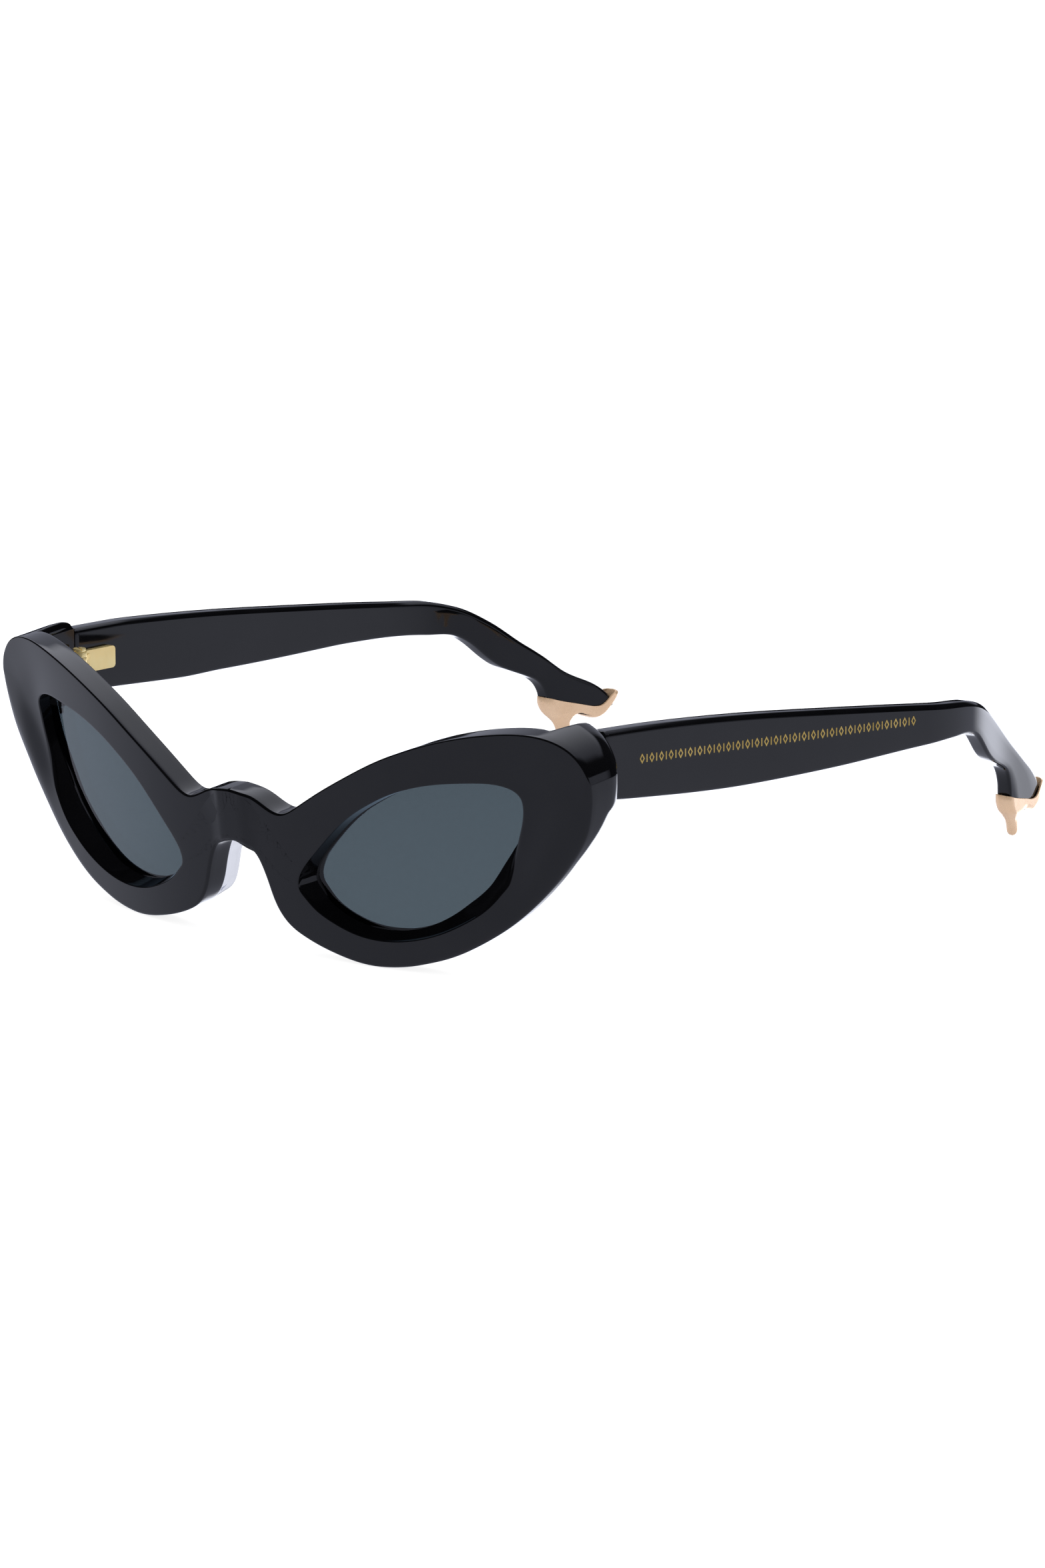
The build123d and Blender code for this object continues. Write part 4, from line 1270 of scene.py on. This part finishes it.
def lens_material():
    """Tinted, clear to sight, with a hard polished surface."""
    made, tree, mix, clear, gloss = clear_and_gloss("lens_tint")
    fresnel = tree.nodes.new("ShaderNodeFresnel")
    geometry = tree.nodes.new("ShaderNodeNewGeometry")
    # inverted on back faces: no total reflection inside a parallel sheet
    ior = remap(tree, geometry.outputs["Backfacing"], low=1.5, high=1.0 / 1.5,
                from_min=0.0, from_max=1.0)
    tree.links.new(ior, fresnel.inputs["IOR"])
    split = tree.nodes.new("ShaderNodeSeparateXYZ")
    place = tree.nodes.new("ShaderNodeTexCoord")
    tree.links.new(place.outputs["Object"], split.inputs["Vector"])
    height = remap(tree, split.outputs["Z"], low=0.0, high=1.0, from_min=0.002, from_max=0.040)
    tint = mix_colors(tree, height, first=(0.239, 0.282, 0.311), second=(0.224, 0.264, 0.292))
    haze = noise(tree, scale=240, detail=3, roughness=0.5)
    tree.links.new(remap(tree, haze, low=0.012, high=0.03), gloss.inputs["Roughness"])
    tree.links.new(tint, clear.inputs["Color"])
    tree.links.new(fresnel.outputs["Fac"], mix.inputs["Fac"])
    return made


def pad_material():
    """Pale, clear acetate, with painted shade darkening its tint towards the grazing edges."""
    made, tree, mix, clear, gloss = clear_and_gloss("acetate_pad_clear")
    # painted shade: the tint goes darker where the surface turns away from view
    edge = tree.nodes.new("ShaderNodeLayerWeight")
    edge.inputs["Blend"].default_value = 0.25
    grazing_shade_share = math_node(tree, "POWER", first=edge.outputs["Facing"], second=2.5)
    tint = mix_colors(tree, grazing_shade_share, first=(0.80, 0.81, 0.86), second=(0.30, 0.31, 0.35))
    tree.links.new(tint, clear.inputs["Color"])
    haze = noise(tree, scale=300, detail=3, roughness=0.5)
    tree.links.new(remap(tree, haze, low=0.05, high=0.12), gloss.inputs["Roughness"])
    mix.inputs["Fac"].default_value = 0.05
    return made


front_mat = acetate("acetate_polished", deep=(0.0010, 0.0010, 0.0013),
                    light=(0.0022, 0.0022, 0.0027), rough=0.05)
# the temples take a copy of the same acetate with a lighter cloud colour: painted light that
# lifts the temples' tone
temple_mat = acetate("acetate_temple_polished", deep=(0.0010, 0.0010, 0.0013),
                     light=(0.0024, 0.0024, 0.0029), rough=0.06)
hinge_mat = metal("hinge_gold_plate", dark=(1.0, 0.78, 0.36), light=(1.0, 0.83, 0.42),
                  rough=0.18, grain=1800, strength=0.01, metallic=0.66)
foil_mat = metal("stamped_foil", dark=(0.42, 0.29, 0.07), light=(0.54, 0.39, 0.12),
                 rough=0.35, grain=3200, strength=0.15, metallic=0.5)
shoe_mat = metal("shoe_rose_gold", dark=(0.92, 0.63, 0.40), light=(0.96, 0.68, 0.45),
                 rough=0.24, grain=1500, strength=0.01, metallic=0.58)
steel_mat = metal("core_wire", dark=(0.42, 0.41, 0.40), light=(0.56, 0.55, 0.53),
                  rough=0.32, grain=2000)
lens_mat = lens_material()
pad_mat = pad_material()

for pieces, chosen in (((front_ob,), front_mat), (lenses, lens_mat), (pads, pad_mat),
                       (temples, temple_mat), (shoes, shoe_mat), (foils, foil_mat)):
    for ob in pieces:
        ob.data.materials.clear()
        ob.data.materials.append(chosen)

# CAD pieces by the start of their name; hinges anywhere in it; the rest is steel
CAD_MATERIALS = {"front_frame": front_mat, "lens": lens_mat, "nose_pad": pad_mat,
                 "temple": temple_mat, "heel_shoe": shoe_mat}
for node_name, ob in frame["nodes"].items():
    if "hinge" in node_name:
        chosen = hinge_mat
    else:
        chosen = next((m for start, m in CAD_MATERIALS.items() if node_name.startswith(start)),
                      steel_mat)
    if not ob.material_slots:
        ob.data.materials.append(chosen)
    else:
        for slot in ob.material_slots:
            slot.link = "OBJECT"
            slot.material = chosen


# ===================================================================== floor
def build_floor():
    """A pale disc just under the frame, partly self-lit."""
    mesh = bpy.data.meshes.new("floor")
    bm = bmesh.new()
    bmesh.ops.create_circle(bm, cap_ends=True, radius=9.0, segments=96)
    bm.to_mesh(mesh)
    bm.free()
    floor = bpy.data.objects.new("floor", mesh)
    bpy.context.scene.collection.objects.link(floor)
    floor.location = (0, 0, -0.00004)
    floor.visible_glossy = False
    pale, tree, output = empty_material("floor_pale")
    add = tree.nodes.new("ShaderNodeAddShader")
    diffuse = tree.nodes.new("ShaderNodeBsdfDiffuse")
    diffuse.inputs["Color"].default_value = (0.30, 0.30, 0.30, 1)
    emission = tree.nodes.new("ShaderNodeEmission")
    emission.inputs["Color"].default_value = (1, 1, 1, 1)
    emission.inputs["Strength"].default_value = 0.85
    tree.links.new(diffuse.outputs["BSDF"], add.inputs[0])
    tree.links.new(emission.outputs["Emission"], add.inputs[1])
    tree.links.new(add.outputs["Shader"], output.inputs["Surface"])
    floor.data.materials.append(pale)


build_floor()

# ===================================================================== world
# What glossy surfaces see. Each panel is the product of soft edges, given as
# direction, cosine where it starts, cosine where it is full, and brightness.
BOX_LOWER, BOX_UPPER, BOX_SIDE = math.radians(38.7), math.radians(58.3), math.radians(40.4)
# the pale table, leaving a dark gap at the horizon
TABLE = [((0, 0, -1), 0.095, 0.135, 0.46)]
# brighter parts of the table towards -x and towards +x, +y
TABLE_MINUS_X = [((-0.97, -0.05, -0.25), 0.86, 1.0, 0.18), ((0, 0, -1), 0.10, 0.16, 1.0)]
TABLE_PLUS_X = [((0.67, 0.71, -0.2), 0.75, 1.0, 0.12), ((0, 0, -1), 0.10, 0.16, 1.0)]
# the glow of the sweep low behind the frame
SWEEP = [((-0.45, 0.87, -0.22), 0.82, 0.95, 2.2), ((0, 0, -1), 0.10, 0.14, 1.0)]
# a thin strip at the horizon towards +x
STRIP = [((1, 0, 0), 0.66, 0.73, 0.45), ((0, 1, 0), 0.0, 0.15, 1.0),
         ((0, 0, -1), -0.14, -0.11, 1.0), ((0, 0, 1), -0.12, -0.08, 1.0)]
# a long softbox above and behind, growing brighter towards -x
BOX = [((0, -math.sin(BOX_LOWER), math.cos(BOX_LOWER)), -0.03, 0.07, 1.0),
       ((0, math.sin(BOX_UPPER), -math.cos(BOX_UPPER)), -0.04, 0.04, 1.0),
       ((-math.cos(BOX_SIDE), math.sin(BOX_SIDE), 0), -0.02, 0.12, 1.0)]
# a dim wall behind, towards -x
WALL = [((-1, 0, 0), 0.12, 0.34, 0.43), ((0, 1, 0), 0.3, 0.55, 1.0),
        ((0, 0, 1), 0.03, 0.08, 1.0), ((0, 0, -1), -0.86, -0.78, 1.0)]
BASE_GLOW = 0.016                             # brightness everywhere else
DIM_TINT, BRIGHT_TINT = (0.905, 0.944, 1.152), (0.943, 0.971, 1.093)


def build_world():
    world = bpy.data.worlds.new("studio")
    bpy.context.scene.world = world
    world.use_nodes = True
    tree = world.node_tree
    tree.nodes.clear()
    output = tree.nodes.new("ShaderNodeOutputWorld")
    place = tree.nodes.new("ShaderNodeTexCoord")

    def edge(direction, start, full, bright, dark=0.0, kind="SMOOTHSTEP"):
        """Brightness from dark to bright as the view turns to a direction."""
        dot = tree.nodes.new("ShaderNodeVectorMath")
        dot.operation = "DOT_PRODUCT"
        dot.inputs[1].default_value = Vector(direction).normalized()
        tree.links.new(place.outputs["Generated"], dot.inputs[0])
        level = remap(tree, dot.outputs["Value"], low=dark, high=bright,
                      from_min=start, from_max=full)
        level.node.interpolation_type = kind
        return level

    def combine(operation, parts):
        result = parts[0]
        for part in parts[1:]:
            result = math_node(tree, operation, result, part)
        return result

    def panel(edges, *more):
        return combine("MULTIPLY", [edge(*row) for row in edges] + list(more))

    box_ramp = edge((-1, 0, 0), start=-0.6, full=0.6, bright=1.38, dark=0.32, kind="LINEAR")
    box_or_wall = math_node(tree, "MAXIMUM", panel(BOX, box_ramp), panel(WALL))
    panels = [panel(rows) for rows in (TABLE, TABLE_MINUS_X, TABLE_PLUS_X, SWEEP, STRIP)]
    glow = math_node(tree, "ADD", combine("ADD", [box_or_wall] + panels), BASE_GLOW)
    glossy = tree.nodes.new("ShaderNodeBackground")
    strong = remap(tree, glow, low=0.0, high=1.0, from_min=0.45, from_max=1.0)
    tree.links.new(mix_colors(tree, strong, DIM_TINT, BRIGHT_TINT), glossy.inputs["Color"])
    tree.links.new(glow, glossy.inputs["Strength"])
    # every other ray sees plain white
    plain = tree.nodes.new("ShaderNodeBackground")
    plain.inputs["Color"].default_value = (1, 1, 1, 1)
    plain.inputs["Strength"].default_value = 1.0
    ray = tree.nodes.new("ShaderNodeLightPath")
    mix = tree.nodes.new("ShaderNodeMixShader")
    tree.links.new(ray.outputs["Is Glossy Ray"], mix.inputs["Fac"])
    tree.links.new(plain.outputs["Background"], mix.inputs[1])
    tree.links.new(glossy.outputs["Background"], mix.inputs[2])
    tree.links.new(mix.outputs["Shader"], output.inputs["Surface"])


build_world()


# ========================================================== light and camera
def build_lamp():
    data = bpy.data.lights.new("overhead_softbox", "AREA")
    data.shape = "RECTANGLE"
    data.size, data.size_y = 1.6, 1.2
    data.energy = 14.0
    lamp = bpy.data.objects.new("overhead_softbox", data)
    lamp.location = (-0.4, 0.4, 1.5)
    aim = Vector((0, 0, 0.02)) - Vector(lamp.location)
    lamp.rotation_euler = aim.to_track_quat("-Z", "Y").to_euler()
    lamp.visible_glossy = False
    bpy.context.scene.collection.objects.link(lamp)


CAMERA_TURN, CAMERA_RISE = math.radians(43.2), math.radians(12.4)
CAMERA_TARGET = np.array([48.6, 0.0, 32.9])   # design coordinates
CAMERA_DISTANCE = 1382.0
FOCAL_LENGTH = 181.5918367


def build_camera():
    back = np.array([math.sin(CAMERA_TURN) * math.cos(CAMERA_RISE),
                     -math.cos(CAMERA_TURN) * math.cos(CAMERA_RISE), math.sin(CAMERA_RISE)])
    right = np.array([math.cos(CAMERA_TURN), math.sin(CAMERA_TURN), 0.0])
    up = np.cross(back, right)
    location = to_world([CAMERA_TARGET + CAMERA_DISTANCE * back])[0]
    data = bpy.data.cameras.new("camera")
    camera = bpy.data.objects.new("camera", data)
    bpy.context.scene.collection.objects.link(camera)
    data.sensor_fit = "VERTICAL"
    data.sensor_height = 36.0
    data.sensor_width = 24.0
    data.lens = FOCAL_LENGTH
    data.clip_start, data.clip_end = 0.05, 50.0
    turn = Matrix([list(axis @ BASIS) for axis in (right, up, back)]).transposed()
    camera.matrix_world = Matrix.Translation(Vector(location)) @ turn.to_4x4()
    bpy.context.scene.camera = camera


build_lamp()
build_camera()
bpy.context.scene.view_settings.view_transform = "Standard"
bpy.context.scene.view_settings.look = "None"

bpy.context.view_layer.update()
